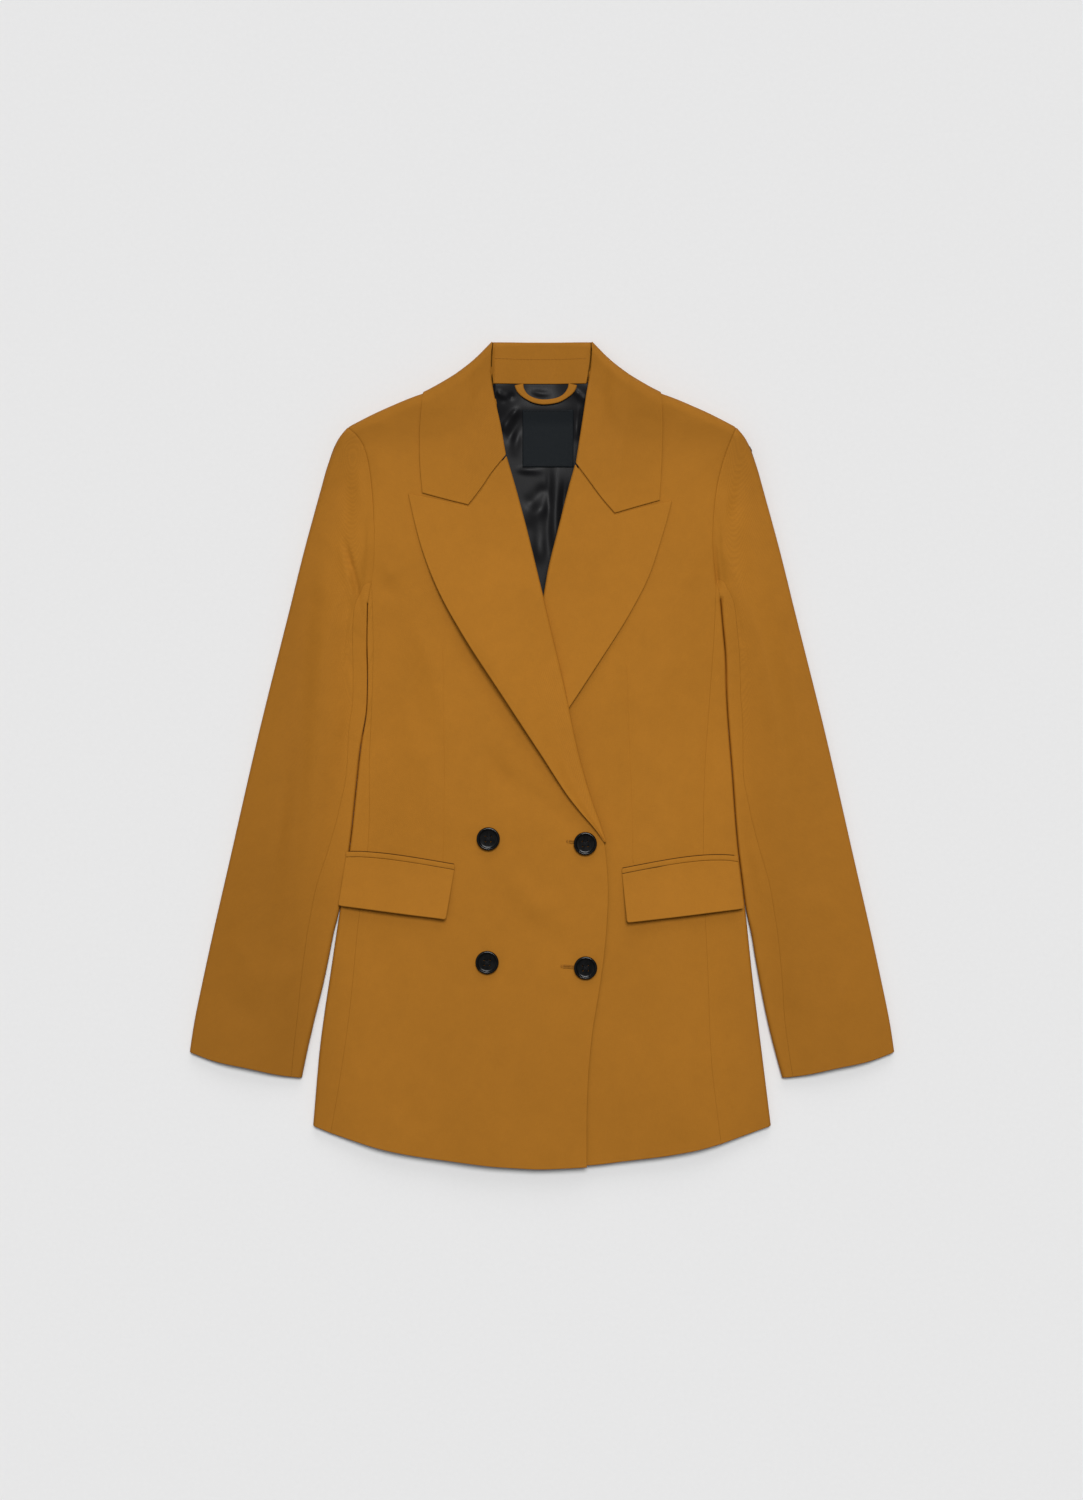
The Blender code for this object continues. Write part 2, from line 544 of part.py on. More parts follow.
def side_panel(side, material):
    """Side panel: from the front's seam, round the side fold, to the back's seam."""
    inward = np.array((-side.sign * SEAM / 2, 0.0))
    seam = side_seam_edge(side).share(BODY_ROWS)
    fold = side.side_fold.share(BODY_ROWS)
    back = back_seam_edge(side).share(BODY_ROWS)
    arm_top = np.array((ARM_FRONT[-1],) + UNDERARM_TURN)
    arm_under = np.array(UNDERARM_TURN[::-1] + ARM_BACK)
    top_grid = strip(side.armhole.share(arm_top), seam, fold, -1.0)
    under_grid = strip(side.armhole.share(arm_under), fold, back, 1.0)
    top_grid[0] -= inward
    under_grid[-1] -= inward
    flat = np.concatenate((top_grid, under_grid[1:]), axis=0)
    faces = np.ones(flat.shape[:2])
    faces[len(top_grid) - 1] = 0
    faces[len(top_grid):] = -1
    flat[:, 0] -= side.off_armhole(np.concatenate((arm_top, arm_under[1:]))) * SEAM / 2
    return panel("side_panel_" + side.name, side, flat, faces, material)


def strip(top, first, last, growing):
    """Grid from a line of armhole points down between two seams.

    Columns crowd towards the fold, where the cloth turns: growing is 1 where the fold
    is the first seam and -1 where it is the last."""
    columns = len(top)
    rows = np.concatenate((top[:1], first)), np.concatenate((top[-1:], last))
    widths = np.hypot(*(rows[1] - rows[0]).T)
    radius = look_up(FOLD_HEIGHT, rows[0][:, 1]) / 2
    grid = np.zeros((columns, len(first) + 1, 2))
    grid[:, 0] = top
    for row in range(1, len(first) + 1):
        turned = radius[row] * (1 - np.cos(np.radians(np.array((0.0, 40.0, 90.0)))))
        turned = np.minimum(turned, widths[row] * np.array((0.0, 0.3, 0.7)))
        rest = columns - len(turned)
        beyond = turned[-1] + (widths[row] - turned[-1]) * even(rest)[1:]
        share = np.concatenate((turned, beyond)) / widths[row]
        if growing < 0:
            share = 1.0 - share[::-1]
        grid[:, row] = rows[0][row] + share[:, None] * (rows[1][row] - rows[0][row])
    return grid


def back_seam_edge(side):
    """Side panel to back, on the underside: from the armhole down to the hem."""
    start = side.armhole.share(ARM_BACK[-1])
    fold = side.side_fold
    rows = [tuple(start)]
    for height, inside in ((130.0, 26.0), (60.0, BACK_SEAM), (-80.0, BACK_SEAM), (-220.0, BACK_SEAM)):
        x, y = fold.at(fold.where_y(height))
        rows.append((x - side.sign * inside, y))
    end_x = abs(SIDE_FOLD[side.name][-1][0]) - BACK_SEAM
    end = hem_between(side, side.sign * end_x, side.sign * end_x, (0.0,))[0]
    return Edge(rows + [tuple(end)])


def back_panel(side, front_seam_row, material):
    """Back: shoulder, armhole and side-back seam, hem and centre seam."""
    inward = np.array((-side.sign * SEAM / 2, 0.0))
    start = SHOULDER_TURN[2] + SHOULDER_GAP / side.armhole.length
    arm = np.array((start, SHOULDER_TURN[3]) + ARM_BACK_UPPER[::-1] + (ARM_BACK[-1],))
    left = np.vstack((side.armhole.share(arm), back_seam_edge(side).share(BODY_ROWS)))
    left[:len(arm)] -= side.off_armhole(arm) * SEAM / 2
    left[len(arm) - 1:] += inward
    seam = front_seam_row + np.array((0.0, -SHOULDER_GAP))
    seam[0] = left[0]
    neck = ((side.sign * 52.0, BACK_NECK), (side.sign * SEAM / 2, BACK_NECK))
    top = Edge(seam, (tuple(seam[-1]),) + neck)
    hem = Edge(hem_between(side, left[-1][0], side.sign * SEAM / 2, even(24)))
    down = rows_down(left, left)
    right = top.share(1.0) + down[:, None] * (hem.share(1.0) - top.share(1.0))
    flat = fill(top, hem, left, right, even(9), down)
    faces = -np.ones(flat.shape[:2])
    return panel("back_" + side.name, side, flat, faces, material)


def sleeve_ring(side):
    """Columns round the sleeve: upper face and underside, from fold to fold."""
    upper_arm = np.array(SHOULDER_TURN + ARM_FRONT + UNDERARM_TURN)
    under_arm = np.unique(np.array(SHOULDER_TURN + ARM_BACK_UPPER + ARM_BACK + UNDERARM_TURN))
    return upper_arm, under_arm


def sleeve_grid(side, arm_shares, seam_column, seam_from_inner):
    """One face of the sleeve as a grid from the outer fold to the inner fold."""
    outer_rows, inner_rows = np.array(SLEEVE_ROWS).T
    outer, inner = side.outer.share(outer_rows), side.inner.share(inner_rows)
    down = (outer_rows + inner_rows) / 2
    across = np.zeros((len(arm_shares), len(down)))
    for row, share in enumerate(inner_rows):
        width = np.hypot(*(inner[row] - outer[row]))
        radius = look_up(FOLD_HEIGHT, (outer[row][1] + inner[row][1]) / 2) / 2
        first = radius * (1 - np.cos(np.radians(TURN_ANGLES)))
        last = width - radius * np.array((1.0, 1 - math.cos(math.radians(TURN_ANGLES[1])), 0.0))
        seam_at = (width - look_up(FOREARM_SEAM, share)) if seam_from_inner else HIND_SEAM
        count = len(arm_shares) - len(first) - len(last)
        places = fill_between(first, last, count, seam_column, seam_at) / width
        blend = smooth_step(outer_rows[row] / 0.34)
        across[:, row] = arm_shares * (1 - blend) + places * blend
    grid = fill(side.armhole, side.cuff, outer, inner, across, down)

    line = np.vstack((side.armhole.points, side.inner.points))[::-1]
    inside = side.sign * (grid[..., 0] - np.interp(grid[..., 1], line[:, 1], line[:, 0]))
    up = (1.0 - arm_shares)[:, None] * side.armhole.length
    below = inner_rows[None] * side.inner.length
    wanted = np.minimum(SPREAD_SHARE * up, SPREAD_SQUARE * up**2)
    wanted = np.minimum(wanted, 2.0 * np.sqrt(up * below))
    wanted = np.minimum(wanted, SPREAD_START + SPREAD_ROOT * np.sqrt(below))
    wanted = np.minimum(wanted, SPREAD_MOST + SPREAD_GROWTH * up)
    wanted = wanted * smooth_step(2.5 - 5.0 * inner_rows)[None]
    grid[..., 0] += side.sign * np.maximum(wanted - inside, 0.0) * (below > 0.0)
    grid[:, 0] += side.off_armhole(arm_shares) * SEAM / 2
    return grid


def fill_between(first, last, count, seam_column, seam_at):
    """Even places between two turned folds, with one column on a seam."""
    total = len(first) + count + len(last)
    knots = [0, len(first) - 1, seam_column, len(first) + count, total - 1]
    places = [first[0], first[-1], seam_at, last[0], last[-1]]
    order = np.argsort(knots)
    knots, places = np.array(knots)[order], np.array(places)[order]
    out = np.interp(np.arange(total), knots, places)
    out[:len(first)] = first
    out[total - len(last):] = last
    return out


def sleeve(side, material):
    """Top sleeve and under sleeve."""
    upper_arm, under_arm = sleeve_ring(side)
    forearm = len(SHOULDER_TURN) + len(ARM_FRONT) - 1
    hind = len(SHOULDER_TURN)
    upper = sleeve_grid(side, upper_arm, forearm, True)
    under = sleeve_grid(side, under_arm, hind, False)
    top_flat = np.concatenate((under[hind:0:-1], upper[:forearm + 1]), axis=0)
    top_faces = np.concatenate((-np.ones(hind), (0.0,), np.ones(forearm)))
    under_flat = np.concatenate((upper[forearm:], under[-2:hind - 1:-1]), axis=0)
    turn = len(upper) - 1 - forearm
    under_faces = np.concatenate((np.ones(turn), (0.0,), -np.ones(len(under_flat) - turn - 1)))
    across = np.array((side.sign * SEAM / 2, 0.0))
    top_flat[0] += across
    top_flat[-1] += across
    under_flat[0] -= across
    under_flat[-1] -= across
    pieces = []
    for name, flat, sides in (("sleeve_top_", top_flat, top_faces),
                              ("sleeve_under_", under_flat, under_faces)):
        faces = np.repeat(sides[:, None], flat.shape[1], axis=1)
        pieces.append(panel(name + side.name, side, flat, faces, material, True)[0])
    return pieces


def lapel(side, skins, material):
    """Peak lapel, rolled over the front's edge, with a narrow return behind it."""
    gorge, notch_edge = LAPEL_TOP[side.name][:4], LAPEL_TOP[side.name][3:]
    top, outer = Edge(gorge, notch_edge), Edge(LAPEL_EDGE[side.name])
    end = Edge((tuple(side.roll.share(1.0)), tuple(outer.share(1.0))))
    rows = even(LAPEL_ROWS)
    roll_points, outer_points = side.roll.share(rows), outer.share(rows)
    width = np.hypot(*(outer_points - roll_points).T)
    corner = (Edge(gorge).length - ROLL_RADIUS) / (top.length - ROLL_RADIUS)
    beyond = np.concatenate((corner * np.array((0.33, 0.67, 1.0)),
                             corner + (1 - corner) * even(4)[1:]))
    turned = np.array((ROLL_RETURN, ROLL_RADIUS, ROLL_TURN, 0.0, ROLL_TURN, ROLL_RADIUS))
    reach = np.concatenate((np.repeat(turned[:, None], len(rows), axis=1),
                            ROLL_RADIUS + beyond[:, None] * (width - ROLL_RADIUS)))
    width[0] = top.length
    reach[6:, 0] = ROLL_RADIUS + beyond * (top.length - ROLL_RADIUS)
    flat = fill(top, end, roll_points, outer_points, reach / width, rows)
    faces = np.ones(flat.shape[:2])
    faces[:3], faces[3] = -1, 0

    query = flat.copy()
    query[:6] = fill(top, end, roll_points, outer_points,
                     np.repeat((ROLL_RADIUS + 2.0) / width[None], 6, axis=0), rows)
    highest, lowest = resting(skins, query, 5.0, side.form(query, False)[0])
    above = highest + STACK
    radius = (above - (lowest - BODY_WALL - STACK)) / 2
    drop = turn_drop(np.minimum(reach, ROLL_RADIUS) / ROLL_RADIUS, 1.0) * radius
    height = np.where(faces > 0, above - drop, above - 2 * radius + drop)
    return trim("lapel_" + side.name, flat, height, TRIM_WALL, material)


def outer_skin(outer):
    """The outer face of a panel, for what lies on it."""
    columns, rows = outer.shape[:2]
    corners = [(c * rows + r, (c + 1) * rows + r, (c + 1) * rows + r + 1, c * rows + r + 1)
               for c in range(columns - 1) for r in range(rows - 1)]
    return BVHTree.FromPolygons([Vector(point) for point in outer.reshape(-1, 3)], corners)


def resting(skins, points, reach, otherwise):
    """Highest and lowest height of the panels within reach of each point."""
    turns = np.radians(np.arange(0.0, 360.0, 45.0))
    around = [(0.0, 0.0)] + [(reach * math.cos(t), reach * math.sin(t)) for t in turns]
    highest, lowest = otherwise.copy(), otherwise.copy()
    for place in np.ndindex(otherwise.shape):
        found = []
        for dx, dy in around:
            above = Vector((points[place][0] + dx, points[place][1] + dy, 1000.0))
            hits = [skin.ray_cast(above, Vector((0.0, 0.0, -1.0)))[0] for skin in skins]
            heights = [hit.z for hit in hits if hit is not None]
            if heights:
                found.append(max(heights))
        if found:
            highest[place], lowest[place] = max(found), min(found)
    return highest, lowest


def collar_leaf(sides, skins, material):
    """Collar: both front wings and the part behind the neck, in one piece."""
    wing_rows, back_rows = np.array(COLLAR_WING_ROWS), np.array(COLLAR_BACK_ROWS)
    wings = []
    for side in sides:
        gorge, end_edge = LEAF_END[side.name][:4], LEAF_END[side.name][3:]
        end = Edge(gorge, end_edge)
        corner = Edge(gorge).length / end.length
        columns = np.concatenate((corner * np.array((0.0, 0.02, 0.06, 0.35, 0.68)),
                                  corner + (1 - corner) * even(3)))
        wings.append(fill(end, side.fold_of_collar, Edge(LEAF_INNER[side.name]).share(wing_rows),
                          Edge(LEAF_OUTER[side.name]).share(wing_rows), columns, wing_rows))
    ends = [wing[:, -1] for wing in wings]
    upper = ends[0][0] + back_rows[:, None] * (ends[1][0] - ends[0][0])
    lower = Edge(LEAF_BACK_EDGE).share(back_rows)
    share = columns[:, None, None]
    behind = (1 - share) * upper[None] + share * lower[None]
    for wing_end, weight in ((ends[0], 1 - back_rows), (ends[1], back_rows)):
        chord = wing_end[0] + columns[:, None] * (wing_end[-1] - wing_end[0])
        behind += (wing_end - chord)[:, None] * (weight**6)[None, :, None]
    flat = np.concatenate((wings[0], behind[:, 1:-1], wings[1][:, ::-1]), axis=1)

    faces = np.ones(flat.shape[:2])
    first, last = len(wing_rows) - 1, flat.shape[1] - len(wing_rows)
    faces[:, first:last + 1] = -1
    faces[:, first], faces[:, last], faces[0, first:last + 1] = 0, 0, 0

    on_right = flat[..., 0] < 0
    silhouette = np.vstack((sides[0].collar_top.points, sides[1].collar_top.points[::-1]))
    away = np.where(faces == 0, 0.0, distance_to(flat, silhouette))
    plateaus = [side.form(flat, False)[0] for side in sides]
    plateau = np.where(on_right, *plateaus)
    rest = np.where(on_right, *(resting(skins, flat, 4.0, low)[0] for low in plateaus))
    rolls = [distance_to(flat, Edge(LEAF_INNER[side.name]).points) for side in sides]
    roll = turn_drop(np.where(on_right, *rolls), LEAF_ROLL_RADIUS)
    roll = roll * smooth_step((396.0 - flat[..., 1]) / 30.0)
    radius = collar_fold_radius(flat, sides)
    laid = plateau + STACK + COLLAR_EASE + np.maximum(rest - plateau, 0.0) * smooth_step(away / 25.0 - 0.4)
    height = np.where(faces > 0, laid - turn_drop(away, radius) - roll, turn_drop(away, radius))
    height[0, first + 1:last] -= SEAM
    return trim("collar", flat, height, TRIM_WALL, material, faces == 0)


def collar_fold_radius(points, sides):
    """Half the thickness of the collar's top fold: slim behind the neck, full beside it."""
    x = points[..., 0]
    plateau = np.where(x < 0, *(side.form(points, False)[0] for side in sides))
    full = (plateau + STACK + COLLAR_EASE) / 2
    share = smooth_step((np.abs(x) - NECK_ROLL_FLAT) / (NECK_ROLL_END - NECK_ROLL_FLAT))
    return NECK_ROLL_RADIUS + (full - NECK_ROLL_RADIUS) * share


def collar_stand(sides, material):
    """Stand inside the back of the neck, turned over the collar's top fold."""
    top_y = COLLAR_TOP[-1][1]
    turn = NECK_ROLL_RADIUS * (1 - np.cos(np.radians(TURN_ANGLES)))
    down = np.concatenate((turn, np.linspace(7.0, top_y - STAND_BOTTOM, 5)))
    y = top_y - down
    ends = []
    for side in sides:
        inner = Edge(LEAF_INNER[side.name]).points
        ends.append(np.interp(y, inner[:, 1], inner[:, 0]) - side.sign * STAND_GAP)
    across = np.array(COLLAR_BACK_ROWS)[:, None]
    x = ends[0][None] + across * (ends[1] - ends[0])[None]
    flat = np.stack((x, np.broadcast_to(y[None], x.shape)), axis=-1)
    fold = np.stack((x, np.full(x.shape, top_y)), axis=-1)
    radius = collar_fold_radius(fold, sides)
    height = 2 * radius - turn_drop(np.broadcast_to(down, x.shape), radius)
    height[:, 0] = radius[:, 0] + SEAM
    on_fold = np.zeros(x.shape, bool)
    on_fold[:, 0] = True
    return trim("collar_stand", flat, height, TRIM_WALL, material, on_fold)


def lining_height(points):
    """Outer face of the lining on the back, with its centre pleat."""
    x, y = points[..., 0], points[..., 1]
    lift = NECK_LIFT * smooth_step((y - 318.0) / 22.0)
    pleat_x, pleat_half, pleat_rise = LINING_PLEAT
    pleat = pleat_rise * np.clip(1.0 - np.abs(x - pleat_x) / pleat_half, 0.0, 1.0)
    return lift + BODY_WALL + LAYER + 0.2 + LINING_WALL + pleat


def back_lining(material):
    rows = np.array(LINING_EDGE)
    heights = np.linspace(rows[0, 0], rows[-1, 0], 13)
    half = np.interp(-heights, -rows[:, 0], rows[:, 1])
    pleat_x, pleat_half, _ = LINING_PLEAT
    flat = np.zeros((11, len(heights), 2))
    for row, (y, width) in enumerate(zip(heights, half)):
        x = np.concatenate((np.linspace(-width, pleat_x - pleat_half, 5),
                            (pleat_x,), np.linspace(pleat_x + pleat_half, width + 1.0, 5)))
        flat[:, row, 0], flat[:, row, 1] = x, y
    return trim("back_lining", flat, lining_height(flat), LINING_WALL, material)


def hanger_loop(material):
    """A strip of cloth, sewn in at both ends and standing a little off the lining."""
    path = Edge(LOOP_PATH)
    shares = even(18)
    centre = path.share(shares)
    ahead = np.gradient(centre, axis=0)
    ahead = ahead / np.hypot(*ahead.T)[:, None]
    aside = np.stack((-ahead[:, 1], ahead[:, 0]), axis=-1)
    sides = np.array((-0.5, 0.0, 0.5)) * LOOP_WIDTH
    flat = centre[None] + sides[:, None, None] * aside[None]
    rise = LOOP_RISE * np.sin(np.pi * shares)**0.7
    height = lining_height(centre)[None] + LAYER + LOOP_WALL + rise[None] + 0 * flat[..., 0]
    return trim("hanger_loop", flat, height, LOOP_WALL, material)


def neck_label(material):
    x0, y0, x1, y1 = LABEL_BOX
    pleat_x, pleat_half, _ = LINING_PLEAT
    x = np.concatenate((np.linspace(x0, pleat_x - pleat_half, 3), (pleat_x,),
                        np.linspace(pleat_x + pleat_half, x1, 3)))
    y = np.linspace(y1, y0, 5)
    flat = np.stack(np.meshgrid(x, y, indexing="ij"), axis=-1)
    return trim("label", flat, lining_height(flat) + LAYER + LINING_WALL, LINING_WALL, material)


def pocket(side, skins, material):
    """Welt and flap, both laid on the front."""
    outer_top, inner_top, outer_end, inner_end = map(np.array, POCKET[side.name])
    up = np.array((0.0, WELT_HEIGHT + SEAM))
    shapes = (("welt_", outer_top + up, inner_top + up, outer_top + (0.0, SEAM),
               inner_top + (0.0, SEAM), 2, WELT_WALL, 0.0),
              ("flap_", outer_top, inner_top, outer_end, inner_end, 4, FLAP_WALL, FLAP_LIFT))
    pieces = []
    for name, top_out, top_in, end_out, end_in, row_count, wall, rise in shapes:
        u, v = even(9)[:, None, None], even(row_count)[None, :, None]
        flat = ((1 - u) * (1 - v) * top_out + u * (1 - v) * top_in
                + (1 - u) * v * end_out + u * v * end_in)
        plateau = side.form(flat, False)[0]
        highest = resting(skins, flat, 7.0, plateau)[0]
        height = np.maximum(plateau, highest) + LAYER + wall + rise * v[..., 0]**1.5
        pieces.append(trim(name + side.name, flat, height, wall, material))
    return pieces


def button(name, place, skins, material):
    """Turned button with a raised rim, lying on the front."""
    profile = ((0.0, 0.0), (BUTTON_RADIUS - 1.6, 0.0), (BUTTON_RADIUS - 0.3, 0.9),
               (BUTTON_RADIUS, 2.1), (BUTTON_RADIUS - 0.5, 3.5),
               (BUTTON_RADIUS - 1.4, BUTTON_HEIGHT), (BUTTON_RADIUS - BUTTON_RIM, BUTTON_HEIGHT - 0.3),
               (BUTTON_RADIUS - BUTTON_RIM - 1.0, BUTTON_HEIGHT - BUTTON_DISH),
               (0.0, BUTTON_HEIGHT - BUTTON_DISH))
    shape = bmesh.new()
    ring = [shape.verts.new((x * MM, 0.0, z * MM)) for x, z in profile]
    edges = [shape.edges.new(pair) for pair in zip(ring, ring[1:])]
    bmesh.ops.spin(shape, geom=ring + edges, axis=(0.0, 0.0, 1.0), cent=(0.0, 0.0, 0.0),
                   angle=math.tau, steps=BUTTON_STEPS, use_merge=True)
    bmesh.ops.remove_doubles(shape, verts=shape.verts[:], dist=1e-6)
    bmesh.ops.recalc_face_normals(shape, faces=shape.faces[:])
    mesh = bpy.data.meshes.new(name)
    shape.to_mesh(mesh)
    shape.free()
    mesh.shade_smooth()
    mesh.materials.append(material)
    piece = bpy.data.objects.new(name, mesh)
    centre = np.array(((place,),))
    highest = max(resting(skins, centre, reach, np.zeros((1, 1)))[0][0, 0]
                  for reach in (0.5 * BUTTON_RADIUS, BUTTON_RADIUS))
    piece.location = (place[0] * MM, place[1] * MM, (highest + SEAM) * MM)
    return piece


def make_material(name, colour, roughness):
    material = bpy.data.materials.new(name)
    material.use_nodes = True
    shader = material.node_tree.nodes["Principled BSDF"]
    shader.inputs["Base Color"].default_value = (*colour, 1.0)
    shader.inputs["Roughness"].default_value = roughness
    return material


def build():
    for item in list(bpy.data.objects):
        bpy.data.objects.remove(item, do_unlink=True)
    collection = bpy.data.collections.new("double_breasted_blazer")
    bpy.context.scene.collection.children.link(collection)
    cloth = make_material("wool_cloth", CLOTH_COLOUR, 0.75)
    satin = make_material("lining_satin", LINING_COLOUR, 0.35)
    black_cloth = make_material("label_cloth", BLACK, 0.6)
    horn = make_material("button_black", BLACK, 0.12)

    sides = [Side("right"), Side("left")]
    pieces, skins = [], []
    for side in sides:
        front, front_face, shoulder_row = front_panel(side, cloth)
        side_piece, side_face = side_panel(side, cloth)
        skins.append([outer_skin(front_face), outer_skin(side_face)])
        pieces += [front, side_piece, back_panel(side, shoulder_row, cloth)[0]]
        pieces += sleeve(side, cloth)
        pieces += [lapel(side, skins[-1], cloth)]
        pieces += pocket(side, skins[-1], cloth)
    pieces += [collar_leaf(sides, skins[0] + skins[1], cloth), collar_stand(sides, cloth),
               back_lining(satin), hanger_loop(cloth), neck_label(black_cloth)]
    for name, place in BUTTONS.items():
        pieces.append(button(name, place, skins[0], horn))
    for piece in pieces:
        collection.objects.link(piece)


if __name__ == "__main__":
    build()
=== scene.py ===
"""Looks of a double-breasted blazer that lies flat and face up on a pale floor.

Its panels are drawn again between the curves they were cut to, with closer lines, their
creases and a rounded edge, and each one stands for the plain solid of its name. Tables
are in millimetres. X runs across, with the wearer's right side at -X, Y runs from hem to
collar and Z is up.
"""
import math

import bmesh
import bpy
import numpy as np
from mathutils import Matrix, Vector
from mathutils.bvhtree import BVHTree


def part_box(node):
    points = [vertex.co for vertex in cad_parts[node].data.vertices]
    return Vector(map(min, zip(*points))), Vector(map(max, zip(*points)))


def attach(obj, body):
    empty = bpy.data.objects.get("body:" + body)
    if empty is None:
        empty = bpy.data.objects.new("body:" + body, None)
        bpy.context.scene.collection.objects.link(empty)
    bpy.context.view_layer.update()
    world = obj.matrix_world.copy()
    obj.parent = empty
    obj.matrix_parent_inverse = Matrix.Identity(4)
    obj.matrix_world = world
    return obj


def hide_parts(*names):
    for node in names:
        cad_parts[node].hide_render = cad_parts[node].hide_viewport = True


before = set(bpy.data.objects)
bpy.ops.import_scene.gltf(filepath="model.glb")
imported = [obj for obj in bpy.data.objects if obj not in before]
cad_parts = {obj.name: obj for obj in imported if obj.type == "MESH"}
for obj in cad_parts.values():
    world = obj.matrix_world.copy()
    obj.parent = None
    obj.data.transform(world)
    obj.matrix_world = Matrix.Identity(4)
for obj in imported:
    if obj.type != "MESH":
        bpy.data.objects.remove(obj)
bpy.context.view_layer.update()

bl_info = {
    "name": "Double-breasted Blazer",
    "version": (1, 0, 0),
    "blender": (4, 5, 0),
    "location": "View3D > Sidebar > Blazer",
    "description": "Makes the cloth, trims, sewing and setting of a blazer laid flat",
    "category": "Add Mesh",
}

MM = 0.001                  # metres in a millimetre

# Cloth, in millimetres.
BODY_WALL = 1.8             # wool with its canvas, fronts, backs and sleeves
LINING_WALL = 1.0           # satin
SEAM = 0.06                 # between pieces that are sewn edge to edge
LAYER = 0.4                 # between pieces that lie on each other
STACK = 1.75                # a trim piece's outer face above the panel under it
LAPEL_REST, COLLAR_REST, POCKET_REST = 5.0, 4.0, 7.0   # it clears the cloth this far round

# How the garment fills out as it lies.
BODY_REACH = 80.0           # from a side fold to full height
SLEEVE_REACH = 42.0         # the same on a sleeve
ARMHOLE_BLEND = 80.0        # from the armhole to where body or sleeve rules alone
NECK_LIFT = 2.2             # the back rides this far up on the collar leaf
OVERLAP_DIP = 3.2           # the under front sinks below the common form
OVERLAP_LIFT = 3.6          # the over front rides above it
OVERLAP_REACH = 60.0        # the width of that step

ROLL_RADIUS = 2.9           # the lapel turned over the front's edge
ROLL_RETURN = 5.5           # the lapel's width behind the roll
ROLL_INSET = 3.6            # the front's edge, inside the roll
ROLL_CLEAR = 2.0            # the roll rests on what is this far beyond it
NECK_ROLL_RADIUS = 3.0      # collar fold at the back of the neck
LEAF_ROLL_RADIUS = 2.4      # the collar's edge over the front
COLLAR_EASE = 0.5           # the collar rides this much more over the fronts
ROLL_TURN = 0.85            # where the roll has turned by half a right angle

# Heights by place.
FOLD_HEIGHT = (             # y, thickness at a fold
    (-400, 8.5), (50, 9), (146, 10), (200, 12), (257, 15),
    (300, 19.5), (320, 22), (400, 22))
NECK_FALL = (               # distance from the centre, share of the fold height
    (0, 0.40), (48, 0.42), (60, 0.60), (75, 0.85), (110, 1), (400, 1))
BODY_CROWN = (              # y, height of the front over the floor
    (-401, 14), (-330, 17), (-150, 22), (0, 25), (150, 28),
    (250, 28), (320, 26), (400, 21))
SLEEVE_CROWN = (            # y, height of the sleeve over the floor
    (-315, 12), (-150, 14.5), (0, 17), (150, 21), (250, 26),
    (320, 26))
OVERLAP_SHARE = (           # y, share of the step where the fronts cross
    (-400, 0.50), (-120, 0.55), (-70, 1), (158, 1), (200, 0), (400, 0))

# Large soft folds: x and y at both ends, half width, depth (a trough is negative).
FOLDS = (
    (-228, 150, -246, -190, 13, -3),
    (-262, 60, -292, -150, 16, 1.4),
    (236, 120, 262, -120, 14, -2.2),
    (-192, 262, -200, 168, 9, -0.9),
    (195, 258, 206, 170, 9, -0.9),
    (-120, 20, -88, -70, 16, 1.2),
    (128, 60, 104, -70, 15, -1.4),
    (-150, -200, -140, -330, 18, -1.5),
    (120, -190, 132, -350, 18, 1.4),
    (-60, -240, -70, -380, 20, 1.3),
)

# Edges on the right half, x and y. The left half mirrors them.
SHOULDER = (
    (188, 317.2), (177.9, 322.6), (161, 331.1), (143.5, 338.9), (128, 345.2),
    (116, 349.5), (95, 356), (70, 363))
SLEEVE_OUTER = (
    (188, 317.2), (193.4, 312.6), (197, 307), (201, 298), (209, 276.5),
    (214.4, 257.1), (230.4, 198.9), (244.9, 140.7), (274, 24.3), (300.7, -92.2),
    (326.9, -208.6), (338.6, -266.8), (341.7, -288))
CUFF = ((341.7, -288), (320, -296), (285.6, -303.6), (248, -311.4), (233, -313))
HEM = (
    (0, -400.8), (53.4, -397.6), (83.4, -393.6), (118.3, -389), (158.1, -381.2),
    (183.3, -373.5), (206.6, -365.7), (222, -359.4))
COLLAR_TOP = (
    (115, 351.2), (108.6, 354.4), (95.5, 361.8), (83, 369.6), (72.8, 377.3),
    (63.5, 385.1), (56.2, 392.9), (48.6, 400.2))

# Edges that differ from side to side, by the wearer's side.
ARMHOLE = {
    "right": ((-188, 317.2), (-176, 305.2), (-170.2, 292.9), (-166.8, 276.5),
              (-164.4, 257.1), (-162.8, 236), (-161.8, 210), (-162.6, 185),
              (-165, 165), (-168.5, 146)),
    "left": ((188, 317.2), (181, 301), (175.2, 284), (171.2, 270),
             (167.5, 248), (165.5, 228), (164.9, 205.6), (166.2, 188),
             (168.8, 168), (172.5, 150)),
}
SIDE_FOLD = {
    "right": ((-168.5, 146), (-169.2, 111), (-168.8, 69), (-170.2, 40),
              (-175.3, 11), (-180, -31), (-186.8, -93), (-195.3, -146),
              (-207.6, -228), (-213.4, -266.8), (-222, -359.4)),
    "left": ((172.5, 150), (174.9, 122.6), (177.3, 97), (178.5, 61.1),
             (184.3, -16.5), (189.8, -87.8), (196.4, -142.6), (205.6, -228),
             (210.5, -266.8), (222, -359.4)),
}
